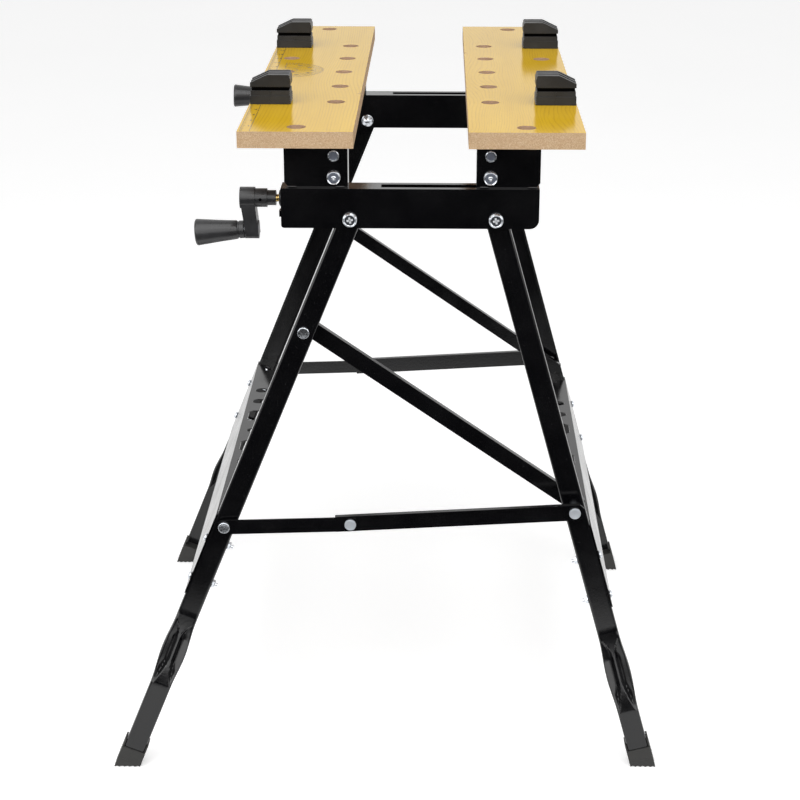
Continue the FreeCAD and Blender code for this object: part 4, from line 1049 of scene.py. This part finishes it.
def build_pieces():
    """Everything that belongs to the bench."""
    finish_kept_nodes()
    printed_scale()
    weld_beads()
    turned_bushes()
    pivot_screws()
    link_rivets()
    for side in SIDES:
        bracket_fasteners(side, JAW_BODY[side])
        wood_screws(side, JAW_BODY[side])
        build_leg(side)
        build_foot(side)
        panel_fasteners(side, side + "_legs")
        for end in ENDS:
            build_dog(side, end)
    for end in ENDS:
        threaded_rod(end)
        build_grip(end)


# ---------------------------------------------------------------- floor, light and camera

def pale_floor():
    """A matt white floor, brighter to the camera; glossy pieces see only the part near the bench."""
    side, back = 9.0, 12.0
    low, high = cad_bounds
    fade_start, fade_end = low.y - 0.20, low.y - 0.36
    mesh = bpy.data.meshes.new("floor")
    corners = [(-side, -side, 0), (side, -side, 0), (side, high.y + back, 0),
               (-side, high.y + back, 0)]
    mesh.from_pydata(corners, [], [(0, 1, 2, 3)])
    material, tree, shader = new_material("pale_floor")
    cloud = noise(tree, coordinates(tree), 2, 3)
    path = add(tree, "LightPath")
    depth = add(tree, "SeparateXYZ", {0: add(tree, "TexCoord").outputs["Object"]}).outputs["Y"]
    unseen = math_node(tree, "MULTIPLY", path.outputs["Is Glossy Ray"],
                       level(tree, depth, fade_start, fade_end))
    pale = mix(tree, cloud, (0.90, 0.90, 0.90), (0.94, 0.94, 0.94))
    glow = blend(tree, path.outputs["Is Diffuse Ray"], blend(tree, unseen, 0.40, 0.0), 0.0)
    feed(tree, shader, Base_Color=mix(tree, unseen, pale, (0.02, 0.02, 0.02)), Roughness=0.9,
         Specular_IOR_Level=0.0, Emission_Color=(1, 1, 1, 1), Emission_Strength=glow)
    mesh.materials.append(material)
    floor = bpy.data.objects.new("floor", mesh)
    bpy.context.scene.collection.objects.link(floor)


def studio_world():
    """White all round to the camera; to the object, dark low in front and white behind and above."""
    world = bpy.data.worlds.new("studio")
    bpy.context.scene.world = world
    world.use_nodes = True
    tree = world.node_tree
    tree.nodes.clear()
    parts = add(tree, "SeparateXYZ", {0: add(tree, "TexCoord").outputs["Generated"]})
    behind = level(tree, parts.outputs["Y"], -0.15, 0.25)
    above = level(tree, parts.outputs["Z"], -0.03, 0.08, 0.0, 2.3)
    overhead = level(tree, parts.outputs["Z"], 0.50, 0.80, 1.0, 0.3)
    front = math_node(tree, "MULTIPLY", above, overhead)
    mirrored = blend(tree, behind, front, 0.98)
    path = add(tree, "LightPath")
    light = blend(tree, path.outputs["Is Diffuse Ray"], mirrored, 0.42)
    strength = math_node(tree, "MAXIMUM", light, path.outputs["Is Camera Ray"])
    background = add(tree, "Background", {"Color": (1, 1, 1, 1), "Strength": strength})
    output = add(tree, "OutputWorld")
    tree.links.new(background.outputs[0], output.inputs["Surface"])


def area_light(name, position, target, size, power):
    """A square soft lamp turned towards a target."""
    lamp = bpy.data.lights.new(name, "AREA")
    lamp.size = size
    lamp.energy = power
    lamp.shape = "SQUARE"
    holder = bpy.data.objects.new(name, lamp)
    bpy.context.scene.collection.objects.link(holder)
    holder.location = position
    holder.rotation_mode = "QUATERNION"
    holder.rotation_quaternion = (Vector(target) - Vector(position)).to_track_quat("-Z", "Y")


def studio_lights():
    """Two soft lamps in front, and one above that reaches the near end first."""
    middle = (0, 0, 0.45)
    area_light("key_light", (-1.7, -2.0, 2.1), middle, 1.5, 15)
    area_light("fill_light", (1.9, -1.8, 1.9), middle, 1.5, 9)
    area_light("top_light", (0, -1.15, 2.35), middle, 1.8, 25)


CAMERA_PLACE = (0.054147, -2.05274, 1.07325)
CAMERA_YAW = math.radians(-1.211)
CAMERA_PITCH = math.radians(20.118)
CAMERA_LENS = 86.53


def front_camera():
    """A long lens a little right of centre, looking down along the jaws."""
    data = bpy.data.cameras.new("camera")
    data.lens = CAMERA_LENS
    camera = bpy.data.objects.new("camera", data)
    bpy.context.scene.collection.objects.link(camera)
    camera.location = CAMERA_PLACE
    level_run = math.cos(CAMERA_PITCH)
    forward = Vector((math.sin(CAMERA_YAW) * level_run, math.cos(CAMERA_YAW) * level_run,
                      -math.sin(CAMERA_PITCH)))
    camera.rotation_mode = "QUATERNION"
    camera.rotation_quaternion = forward.to_track_quat("-Z", "Y")
    bpy.context.scene.camera = camera


build_pieces()
pale_floor()
studio_world()
studio_lights()
front_camera()
bpy.context.scene.view_settings.view_transform = "Standard"
